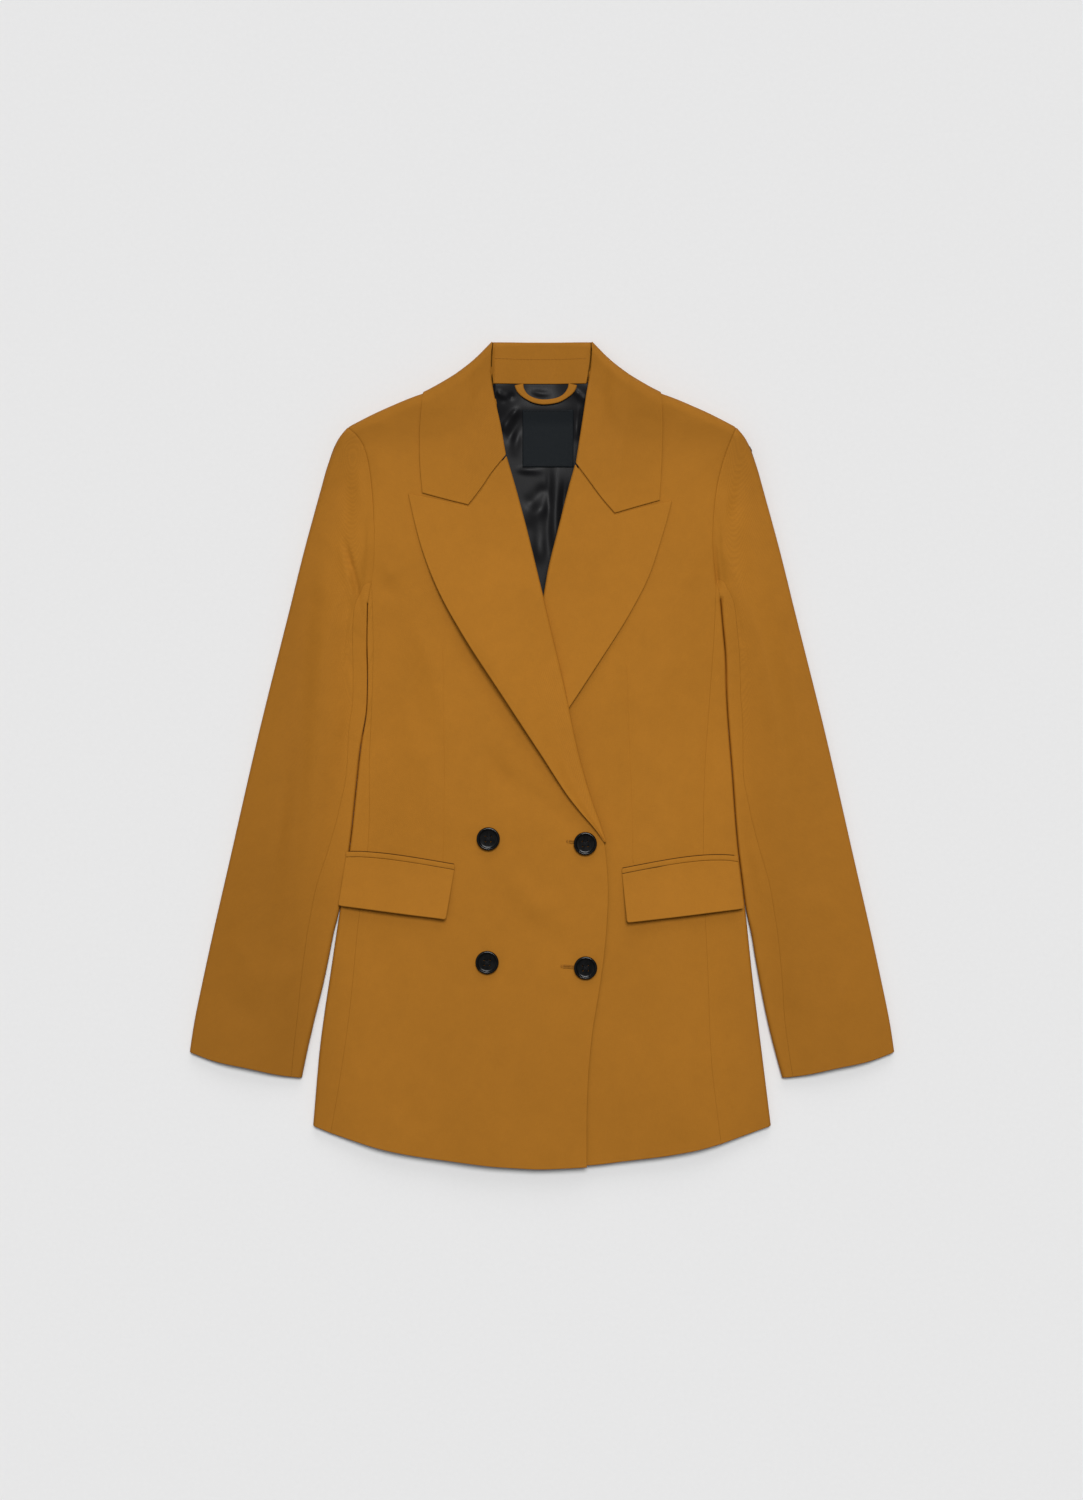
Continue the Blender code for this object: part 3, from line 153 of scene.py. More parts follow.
SLEEVE_INNER = {
    "right": ((-168.5, 146), (-171.3, 111), (-170.9, 69), (-172.3, 40),
              (-177.4, 11), (-182.1, -31), (-188.9, -93), (-197.4, -146),
              (-213.4, -228), (-223.1, -266.8), (-233, -313)),
    "left": ((172.5, 150), (177, 122.6), (179.4, 97), (180.6, 61.1),
             (186.4, -16.5), (191.9, -87.8), (198.6, -142.6), (212.5, -228),
             (220.7, -266.8), (233, -313)),
}
SIDE_SEAM = {               # front panel to side panel, on the upper face
    "right": ((-163.2, 110), (-165, 45), (-167.1, 3.4), (-168.5, -87.6),
              (-177, -153.1), (-186.8, -251.2), (-194.3, -304.6), (-204.7, -366.4)),
    "left": ((166.5, 120), (162, 50), (157.5, -20), (156.4, -92),
             (161.3, -228), (163.7, -292), (173.4, -376.6)),
}
NECKLINE = {                # the front's own edge, under the collar
    "right": ((-70, 361), (-60.5, 338), (-50.5, 313), (-41.5, 292)),
    "left": ((70, 361), (58.5, 338), (48, 312), (39, 288)),
}
ROLL_LINE = {
    "right": ((-34, 288.1), (-25, 257.1), (-14.6, 218.3), (-3.9, 174.6),
              (7.8, 125.1), (22.3, 64), (34.5, 5.8), (43.6, -28), (55, -62)),
    "left": ((31.7, 280), (25.2, 257.1), (15.5, 218.3), (5.8, 179.5), (0, 147.4),
             (-10, 110), (-22.3, 60), (-34.5, 5.8), (-43.6, -28), (-54, -62)),
}
LAPEL_TIP = {               # the lapel's roll goes on from the roll line to here
    "right": ((60.0, -74.5), (62.2, -84.0)), "left": ()}
FRONT_EDGE = {
    "right": ((56, -74), (60.2, -86), (62, -98), (64, -130), (62.3, -170),
              (58.8, -204.7), (48.7, -269.7), (44.2, -324), (43.4, -399)),
    "left": ((-53.4, -73), (-61, -92), (-64, -130), (-62, -170), (-58, -204.7),
             (-49, -269.7), (-45, -324), (-43.4, -397)),
}
LAPEL_TOP = {               # from the roll line out to the peak
    "right": ((-34, 288.1), (-43.7, 277.4), (-59.2, 254.2), (-70.7, 239.2),
              (-100, 246), (-129, 251.7)),
    "left": ((31.7, 280), (42, 266.8), (56, 247.6), (69.9, 231.3),
             (98, 239), (125.1, 244.9)),
}
LAPEL_EDGE = {              # from the peak down to the end of the roll
    "right": ((-129, 251.7), (-123.2, 226), (-117, 202.7), (-97, 152.3),
              (-78, 118.3), (-36.2, 53.8), (3.9, -7.3), (24.9, -39.5), (43.9, -63.1),
              (53.4, -73.8), (60.6, -83.4)),
    "left": ((125.1, 244.9), (121.9, 231.4), (116.4, 212.4), (100.9, 167.1),
             (88.3, 143), (44.6, 73.7), (3, 10), (-24, -36), (-42.8, -62.6)),
}
LEAF_INNER = {              # the collar's roll edge, from its front end to the neck
    "right": ((-34.6, 289.6), (-41, 325), (-45.8, 346.3), (-48.8, 365), (-48.6, 400.2)),
    "left": ((32.4, 281.8), (40, 330.8), (43.4, 354.1), (46.6, 372), (48.6, 400.2)),
}
LEAF_END = {                # its front end, from the roll edge to the outer corner
    "right": ((-34.2, 288.9), (-43.7, 277.8), (-59.7, 255.2), (-70.9, 240.8),
              (-95, 246.9), (-115.4, 252.6)),
    "left": ((32.2, 281), (42.2, 267.7), (56.2, 248.7), (70, 232.7),
             (92, 239.3), (113.4, 245.4)),
}
LEAF_OUTER = {
    "right": ((-115.4, 252.6), (-118, 285), (-118.2, 312), (-115, 351.2)),
    "left": ((113.4, 245.4), (115.6, 285.2), (116.6, 318), (115, 351.2)),
}
LEAF_BACK_EDGE = ((-115, 351.2), (-60, 347.5), (0, 346.5), (60, 347.5), (115, 351.2))

BACK_NECK = 359.2           # y of the back's neck edge
SHOULDER_GAP = 0.5          # between front and back at the shoulder
STAND_BOTTOM = 359.7        # y of the stand's seam to the lining and the back
STAND_GAP = 1.6             # its ends to the collar's roll edge
STAND_FLAT = 7.0            # from the top fold to where its even rows begin
NECK_ROLL_RAMPS = (         # x from and to where the neck fold thickens, share of it
    ((10, 45), 0.35), ((45, 53), 0.65))
LINING_EDGE = (             # y, half width of the lining that shows in the neck
    (361.2, 46), (352, 52), (330, 54), (280, 43), (230, 32), (180, 22),
    (128, 14))
LINING_CENTRE = 0.5
LINING_EASE = 0.2           # the lining lies this much looser than a layer
LINING_LINES = (90, 130)    # lines of the lining's grid, across and down

POCKET = {                  # corners of the flap: top outer, top inner, bottom outer, inner
    "right": ((-190.1, -98.9), (-84.4, -110.6), (-197.2, -145.5), (-92.6, -158.1)),
    "left": ((190.1, -103.4), (77.1, -114.6), (195.5, -148.4), (81.9, -161.4)),
}
WELT_HEIGHT = 5.2           # the jet, from the flap to its upper seam
WELT_WALL = 1.0
JET_PUFF = 0.5              # the jet's middle over its seams
FLAP_LIFT = 2.4             # the flap stands off by this much at its lower edge
FLAP_WALL = 1.4
POCKET_COLUMNS = 9
CORNER_RADIUS = 2.4         # of the flap's lower corners

BUTTONS = {                 # centre of each button
    "button_upper_right": (-51.8, -80.8), "button_upper_left": (41.7, -85.4),
    "button_lower_right": (-53, -200.1), "button_lower_left": (42, -205.4),
}
BUTTON_PROFILE = (          # radius and height, from the middle of the back to the dish
    (0, 0), (8.6, 0), (10.2, 0.35), (11, 1.1), (11.3, 2.1), (11.2, 3.1), (10.95, 3.7),
    (10.6, 4.05), (10.2, 4.18), (9.7, 4.2), (9.3, 4.12), (9, 3.9), (8.75, 3.5), (8.5, 3.2),
    (8.2, 3.09), (7.6, 3.06), (4, 3), (0, 2.98))
LOOP_PATH = (               # the loop's centre line, from end to end
    (-22.4, 359.4), (-21.6, 355.6), (-18, 350), (-11.5, 345.2), (-3, 342.4),
    (8, 342.4), (17.5, 344.8), (25, 350), (29, 355.6), (29.9, 359.4))
LOOP_WIDTH = 5.2
LOOP_END_WIDTH = 8.6        # it is wider where it is sewn in
LOOP_WALL = 1.2
LOOP_RISE = 3.0             # the loop stands off the lining by this much
LOOP_ARCH = 0.7             # the lower, the steeper it rises at its ends
LOOP_CROWN = 0.35           # its middle lies this much over its edges
LOOP_LINES = 72
LABEL_BOX = (-18.9, 279.1, 30.5, 334.7)   # least x and y, most x and y
LABEL_LINES = (56, 58)      # lines of its grid, across and down

BLACK_THREAD = (0.012, 0.012, 0.013)

# Stations round the armhole: share of the way from shoulder to underarm.
SHOULDER_TURN = (0.0, 0.008, 0.026, 0.062)
ARM_FRONT = (0.14, 0.25, 0.37, 0.49, 0.61, 0.71, 0.80, 0.88)
UNDERARM_TURN = (0.955, 0.985, 1.0)
ARM_BACK = (0.90, 0.80, 0.70)
ARM_BACK_UPPER = (0.58, 0.46, 0.34, 0.22, 0.12)
SLEEVE_ROWS = (             # share of the way down the outer fold, and down the inner fold
    (0, 0), (0.03, 0.002), (0.065, 0.008), (0.105, 0.020), (0.15, 0.038), (0.20, 0.066),
    (0.25, 0.105), (0.30, 0.15), (0.36, 0.21), (0.42, 0.28), (0.49, 0.36), (0.56, 0.445),
    (0.63, 0.53), (0.70, 0.62), (0.77, 0.71), (0.84, 0.795), (0.90, 0.87), (0.955, 0.94),
    (1, 1))
BODY_ROWS = (0.022, 0.06, 0.12, 0.19, 0.26, 0.335, 0.41, 0.485, 0.56, 0.635, 0.71, 0.785,
             0.86, 0.93, 1)
LAPEL_ROWS = 20
LAPEL_CORNER = 8            # the lapel's column at the notch
LEAF_COLUMNS = (0.0, 0.02, 0.06, 0.35, 0.68)   # share of the collar's seam to the lapel
LEAF_SETTLES = 6            # power by which the ends' curve dies out behind the neck
GORGE_COLUMNS = (0.33, 0.67, 1.0)   # share of the lapel's seam to the collar
SLIM_WIDTH = 9.0            # a lapel narrower than this has a smaller roll
COLLAR_WING_ROWS = (0, 0.14, 0.28, 0.42, 0.56, 0.69, 0.80, 0.885, 0.942, 0.985, 1)
COLLAR_BACK_ROWS = (0, 0.014, 0.036, 0.07, 0.14, 0.23, 0.32, 0.41, 0.50, 0.59, 0.68, 0.77,
                    0.86, 0.93, 0.964, 0.986, 1)
FOREARM_SEAM = (            # share of the inner fold's length, distance from it
    (0, 18.5), (0.15, 13), (0.35, 12), (0.50, 22), (0.62, 29), (0.75, 27),
    (0.88, 17), (1, 10))
HIND_SEAM = 22.0            # from the outer fold, on the underside
BACK_SEAM = (               # y, side panel to back: from the side fold, on the underside
    (130, 26), (60, 38), (-80, 38), (-220, 38))
BACK_NECK_HALF = 52.0       # half the width of the back's neck edge
TURN_ANGLES = (0.0, 30.0, 60.0, 90.0)
PANEL_TURN = (0.0, 40.0, 90.0)   # the same on a side panel
PANEL_TURN_MOST = (0.0, 0.3, 0.7)   # and the most of its width that each may take
FRONT_COLUMNS, BACK_COLUMNS, HEM_STEPS = 11, 9, 24

# Ramps: where a change begins and where it is complete.
NECK_LIFT_Y = (318.0, 340.0)
NECK_LIFT_X = (150.0, 122.0)
FOLD_FREE = (0.0, 25.0)     # large folds, by distance from the garment's edge
CREASE_FREE = (0.0, 22.0)   # creases, by the same
TOUCH_LOW_Y = (-178.0, -144.0)
TOUCH_HIGH_Y = (152.0, 144.0)
OVERLAP_WIDENS_Y = (60.0, -70.0)
OVERLAP_START, OVERLAP_WIDER = 30.0, 32.0   # the front's edge from the centre, and more below
SLEEVE_EVEN = (0.0, 0.34)   # the sleeve's columns leave the armhole's spacing
LEAF_ROLL_Y = (396.0, 366.0)
LEAF_LAID = (10.0, 35.0)    # the leaf rests on what is under it, by distance from its fold
UNDER_STAND_Y = (322.0, 359.0)
DRAW_REACH = 45.0           # width of the sleeve that moves towards the body
DRAW_MOST = 2.0

# How the sleeve's columns leave the inner fold under the arm. A column is some way up the
# armhole and a row some way down the fold. A point stands off the fold by the least of
# these: a share of the way up, its square, so much of the mean root of both, a limit that
# grows with the root of the way down, and one that grows with the way up.
SPREAD_SHARE, SPREAD_SQUARE, SPREAD_MEAN = 0.65, 0.08, 2.0
SPREAD_START, SPREAD_ROOT = 5.0, 1.8
SPREAD_MOST, SPREAD_GROWTH = 8.0, 0.25
SPREAD_ROWS = (0.5, 0.3)    # rows of the fold by which it has come, and is whole

# Shells: the cloth as drawn here, on the form of its solid.
BODY_SHELL = 1.5
TRIM_SHELL = 1.2
LOOP_SHELL = 1.0
JET_SHELL = 0.9
LABEL_SHELL = 0.6
LINING_SHELL = 0.5
EDGE_LINES = (0.3, 0.8, 1.7)   # distance of the close lines inside each edge
SEAM_SINK = (               # y, how deep the cloth sinks into its seams
    (-400, 0.05), (205, 0.05), (245, 0.4), (330, 0.4))
SINK_REACH = 1.2
EDGE_ROUNDING = 0.85        # share of the half round that an edge takes
SEWN_ROUNDING = (           # y, share by which a sewn edge rounds off
    (-400, 0.14), (205, 0.14), (245, 0.45), (330, 0.45))
TOUCHING = {                # y, how much squarer the folds are where sleeve and body touch
    "right": ((0, 0.5), (40, 0.8), (150, 0.86)), "left": ((0, 0.5), (150, 0.5))}
UNDERARM_EASE = (           # y, share by which the hollow beside the side fold fills up
    (20, 0), (100, 0.42), (150, 0.72))
TOUCH_GAP = (               # y, how far apart they lie there
    (-200, 0.14), (-10, 0.12), (60, 0.1), (150, 0.1))
BODY_FINER = 5              # lines for each line of a panel
TRIM_FINER = 4

# Creases: x and y at both ends, bow to the left, half width, depth. Each widens along
# its length, fades towards its ends and is uneven.
CREASE_WIDENS = (0.8, 0.45)     # width at its start, and how much it grows to its end
CREASE_MIDDLE, CREASE_FADE = 0.46, 0.36
CREASE_UNEVEN = (0.28, 9.0, 2.1)   # share, waves along a crease, shift from one to the next
CREASES = (
    # sleeve of the wearer's right arm
    (-193, 212, -170, 116, -2, 2.6, -3.2),
    (-198, 208, -177, 118, -2, 3.6, 1.2),
    (-219, 150, -238, -170, 4, 13, -2.2),
    (-205, 283, -214, 196, 3, 7, 0.9),
    (-190, 278, -188, 205, -2, 5.5, -1),
    (-176, 288, -171, 225, 2, 4.5, 0.8),
    (-226, 232, -238, 120, 4, 9, 0.8),
    (-182, 196, -190, 120, -3, 8, -0.9),
    (-247, -20, -262, -150, 5, 10, 0.9),
    (-300, -170, -258, -232, 5, 10, 1),
    (-318, -214, -262, -262, 6, 11, -1.2),
    (-196, 60, -214, -20, -4, 8, 0.8),
    (-270, 110, -262, 20, 4, 9, -0.7),
    # sleeve of the wearer's left arm
    (189.5, -50, 213, -160, 0, 2.6, -2.4),
    (195, -52, 220, -164, 0, 4, 1.2),
    (207, 284, 216, 190, -3, 7, 1),
    (193, 280, 188, 214, 2, 5, -0.9),
    (178, 262, 173, 210, -1, 4.5, 0.9),
    (232, 190, 238, 110, -3, 9, 1),
    (184, 196, 181, 150, 2, 6, -0.9),
    (214, 60, 232, -50, 4, 10, -0.8),
    (262, -150, 300, -214, -5, 10, -1.1),
    (252, -190, 246, -262, 4, 9, 0.9),
    (296, -212, 268, -280, -5, 10, 0.9),
    (262, 70, 270, -10, 4, 10, 0.7),
    # from the left armhole down into the side fold
    (165.2, 218, 173.2, 140, 0.8, 2, -2.4),
    # under the edge of the right lapel
    (-104, 150, 19, -46, 0, 9, -2.6),
    (20, -48, 56, -88, 0, 5, -1.2),
    # right front, and where it is pulled at the buttons
    (-158, 196, -132, 168, 4, 8, 1),
    (-157, 168, -128, 150, 4, 7, -0.9),
    (-126, 136, -84, -22, -7, 9, 1.5),
    (-140, 110, -108, -30, -6, 10, -0.9),
    (-60, 6, 6, -52, 6, 9, -2.2),
    (-12, -38, 38, -80, -3, 5, -1.7),
    (-44, -96, 30, -172, 7, 11, 2),
    (-84, -62, -34, -118, 5, 9, -0.7),
    (-20, -150, 34, -192, 5, 7, -0.9),
    (-12, -214, 36, -208, 3, 6, 0.7),
    (-118, -232, -104, -330, 6, 12, -0.9),
    (-176, -290, -190, -366, 4, 9, 1),
    (-140, -318, -118, -372, 4, 9, -0.8),
    (0, -262, 8, -356, 5, 12, 0.7),
    # left front
    (101, 150, 87, 22, 6, 9, 1.3),
    (116, 116, 110, -20, 5, 10, -0.8),
    (157, 46, 154, -66, 4, 9, 1),
    (150, 200, 128, 158, -4, 8, 0.9),
    (146, -222, 158, -330, 5, 11, 1),
    (100, -220, 96, -318, 5, 12, -0.7),
    (180, -226, 192, -336, -4, 8, -0.8),
)
# Soft dents of the same kind on the underside, which otherwise lies flat.
DENTS = (
    (-60, 250, -44, 90, 8, 14, 1),
    (58, 230, 40, 60, -8, 14, 0.9),
    (-110, 40, -70, -80, 9, 16, 1.1),
    (96, 30, 70, -110, -8, 16, 1),
    (-118, -190, -92, -340, 9, 18, 1.1),
    (112, -200, 88, -350, -9, 18, 1.1),
    (-14, -120, -22, -300, 6, 15, 0.8),
    (-244, 120, -268, -60, 7, 12, 0.9),
    (244, 110, 270, -70, -7, 12, 0.9),
    (-300, -120, -268, -230, 6, 12, 0.9),
    (300, -130, 266, -240, -6, 12, 0.9),
)
LINING_FOLDS = (            # as CREASES, on the lining
    (-22, 337, -40, 311, 1, 3.4, 2.3),
    (-18, 332, -35, 298, 1, 4.2, -1.5),
    (-23, 318, -27, 286, 0.5, 4.4, 1.1),
    (-45, 353, -28, 345, 1.5, 2.4, 1.5),
    (-40, 343, -24, 350, 0, 2.2, -1.2),
    (-12, 353, 12, 351, 1.5, 2.2, 1.1),
    (30, 354, 45, 341, 0, 2.6, 1.5),
    (36, 340, 33, 300, 1, 3, 1.4),
    (-26, 276.5, 5, 276, 0, 2.8, 1.3),
    (7, 283, 6.6, 176, 0, 3.8, -1.1),
    (15, 284, 11.4, 176, 0.5, 5.6, 1.6),
    (6, 247, -17, 220, 0, 7, 1.8),
    (6, 262, -18, 238, 0, 6, -1.3),
    (-2, 232, -1, 178, 1, 6, 1.2),
    (23, 272, 16, 212, -1, 4, -1.4),
)

# The lapel over the front stands off it most here: y, height.
LAPEL_LIFT = {
    "right": ((-90, 1.2), (-60, 4.6), (-20, 7), (40, 9.4), (100, 9.2),
              (160, 5.6), (190, 2.4), (215, 1), (240, 0.3), (260, 0)),
    "left": ((-90, 0), (0, 4.6), (50, 4.6), (90, 2.8), (150, 0.9), (260, 0)),
}
LAPEL_STAYS = 12.0          # as far as this from its roll the lapel lies close,
LAPEL_STAYS_MOST = 0.4      # or over this share of its width
FLAP_STAND_OFF = (4.2, 6.0)   # more lift at the flap's lower edge: outer end, inner end
POCKET_BOW = {"right": 2.7, "left": 4.8}   # the pocket's top edge bows up by this much
SHADOW_CORDS = ((0.44, 1.66), (0.36, 0.24))       # dark cords of painted shadow in its two seams: radius, rise over the panel
SHADOW_CORD_ENDS = (0.035, 0.995)  # share of the top edge that the cords run along
THREAD = 0.55               # diameter of the sewing thread
STITCH_PITCH = 3.4
STITCH_LENGTH = 2.4
STITCH_FIRST = 0.6          # from the row's start to its first stitch
STITCH_SHAPE = (            # share of its length, height as a share of its bulge
    (0, -0.35), (0.14, 0.5), (0.5, 1), (0.86, 0.5), (1, -0.35))
BUTTON_HOLES = 2.3          # from the button's centre to each hole, along X and Y
BUTTON_HOLE_RADIUS = 0.95
DRILL_LENGTH = 12.0
STRANDS = (-0.42, 0.0, 0.42)   # places of the button's threads, side by side
STRAND_RADIUS = 0.24
STRAND_LIFTS = (0.35, 0.75)    # one pair of holes is sewn over the other
STRAND_SHAPE = (            # share of its length, height, share of its lift over the button
    (0, -2.2, 0), (0.04, -0.2, 0), (0.16, 0, 0.8), (0.5, 0, 1),
    (0.84, 0, 0.8), (0.96, -0.2, 0), (1, -2.2, 0))
BUTTONHOLES = {             # buttonhole: x and y at its eye and at its inner end
    "buttonhole_upper": ((46.5, -85.6), (25.2, -83.4)),
    "buttonhole_lower": ((46, -205.6), (19.8, -204.1)),
}
PURL_PITCH = 0.62           # between two stitches of a buttonhole
PURL_REACH = (0.25, 1.75)   # both ends of such a stitch, from the slit
PURL_BULGE = 0.42
PURL_LIP = 0.05             # its end at the slit is this much higher
PURL_END = 6                # stitches round the slit's inner end, and
PURL_FAN = (0.2, 1.6, 1.7)  # where each starts, where the cloth is felt, where it ends
DART_RADIUS = 0.42
DART_RISE = 0.17            # the dart's cord shows by this much
DARTS = {                   # front dart, from its upper end to the pocket or its end
    "right": ((-95.6, 116), (-94.6, 40), (-94.2, -40), (-95.4, -104)),
    "left": ((81.5, 101), (83.6, 30), (86.6, -40), (88, -104)),
}
STAND_STITCHES = ((-46, 384), (0, 383.6), (43, 384))
LABEL_INSET = 1.2           # from the label's edge to its stitches

TWILL_SLANT = 0.62          # rise of a rib for each step across
PAINTED_SHADE_BY_PLACE = (          # measure, metres from and to, tone at both: painted shade, the cloth is darker to the hem, on both arms, on the right arm most, and at the neck
    ("y", -0.40, 0.02, 0.88, 1),             # to the hem,
    ("off_centre", 0.170, 0.240, 1, 0.89),   # on both arms,
    ("x", -0.240, -0.190, 0.90, 1),          # on the right arm most,
    ("y", 0.24, 0.31, 1, 0.85))              # and at the neck

CAMERA_PLACE = (-0.0005, 0.00485, 3.44)
CAMERA_LENS = 85.0
FLOOR_HALF = 3.0            # metres from the floor's middle to its edge
LAMPS = (                   # name, strength, turn about Z, tilt from upright, spread
    ("key", 2.20, -12, 18, 20),
    ("top", 0.54, -6, 60, 36),
    ("side_fill", 0.20, 70, 35, 50),
)


# ---- curves and heights ----------------------------------------------------------

def look_up(table, value):
    """Read a two-column table between its rows."""
    rows = np.array(table)
    return np.interp(value, rows[:, 0], rows[:, 1])


def mirrored(table):
    return tuple((-x, y) for x, y in table)


def smooth_step(value):
    value = np.clip(value, 0.0, 1.0)
    return value * value * (3.0 - 2.0 * value)


def ramp(value, ends):
    """0 up to the first of two values and 1 from the second on, smoothly between."""
    return smooth_step((value - ends[0]) / (ends[1] - ends[0]))


def cubic(share, first, first_slope, last, last_slope):
    """Values between two, with the slope at both."""
    return ((2 * share**3 - 3 * share**2 + 1) * first
            + (share**3 - 2 * share**2 + share) * first_slope
            + (3 * share**2 - 2 * share**3) * last + (share**3 - share**2) * last_slope)


def chain(points):
    """Distance along a chain of points."""
    return np.concatenate(([0.0], np.cumsum(np.hypot(*np.diff(points, axis=0).T))))


def unit(ways):
    return ways / np.linalg.norm(ways, axis=-1, keepdims=True)


def quarter_turn(way):
    """A flat direction, turned left by a right angle."""
    return np.stack((-way[..., 1], way[..., 0]), axis=-1)


def patch(u, v, first, second, third, fourth):
    """Points between four corners: two above, two below."""
    return ((1 - u) * (1 - v) * first + u * (1 - v) * second
            + (1 - u) * v * third + u * v * fourth)


class Edge:
    """A smooth curve through the rows of a table, measured along its length.

    Several tables are joined end to end, with a corner where they meet."""

    def __init__(self, *tables):
        points = np.vstack([self._smooth(np.array(table, float)) for table in tables])
        steps = np.hypot(*np.diff(points, axis=0).T)
        self.points = points[np.concatenate(([True], steps > 1e-6))]
        self.along = chain(self.points)
        self.length = self.along[-1]

    @staticmethod
    def _smooth(rows, per_span=16):
        """Cubic spans whose slope at a row is that of its two neighbours' chord."""
        if len(rows) < 3:
            return rows
        knots = chain(rows)
        slopes = np.gradient(rows, knots, axis=0)
        share = np.linspace(0.0, 1.0, per_span, endpoint=False)[:, None]
        out = [cubic(share, rows[n], span * slopes[n], rows[n + 1], span * slopes[n + 1])
               for n, span in enumerate(np.diff(knots))]
        return np.vstack(out + [rows[-1:]])

    def at(self, distance):
        distance = np.asarray(distance, float)
        return np.stack([np.interp(distance, self.along, self.points[:, axis])
                         for axis in (0, 1)], axis=-1)

    def share(self, fractions):
        return self.at(np.asarray(fractions) * self.length)

    def where_y(self, height):
        """Distance along the curve at which a falling curve passes a height."""
        return float(np.interp(-height, -self.points[:, 1], self.along))


def nearest_on(points, line):
    """The nearest place to each point on a chain of points."""
    flat = points.reshape(-1, 1, 2)
    start, step = line[None, :-1], np.diff(line, axis=0)[None]
    share = ((flat - start) * step).sum(-1) / (step**2).sum(-1)
    places = start + np.clip(share, 0.0, 1.0)[..., None] * step
    best = ((flat - places)**2).sum(-1).argmin(1)
    return places[np.arange(len(flat)), best].reshape(points.shape)


def distance_to(points, line):
    return np.linalg.norm(nearest_on(points, line) - points, axis=-1)


def turn_drop(distance, radius):
    """How far a rounded edge falls away from its flat, by distance from the fold."""
    inside = radius - np.minimum(distance, radius)
    return radius - np.sqrt(np.maximum(radius**2 - inside**2, 0.0))


def fill(top, bottom, left, right, across, down):
    """A grid of points between four edges.

    top and bottom are edges; left and right are points, one for each line across. across
    is each grid point's share of the way from left to right, and down that of its line."""
    if across.ndim == 1:
        across = np.repeat(across[:, None], len(down), axis=1)
    u, v = across[..., None], np.asarray(down)[None, :, None]
    corners = patch(u, v, top.share(0.0), top.share(1.0), bottom.share(0.0), bottom.share(1.0))
    return ((1 - v) * top.share(across) + v * bottom.share(across)
            + (1 - u) * left[None] + u * right[None] - corners)


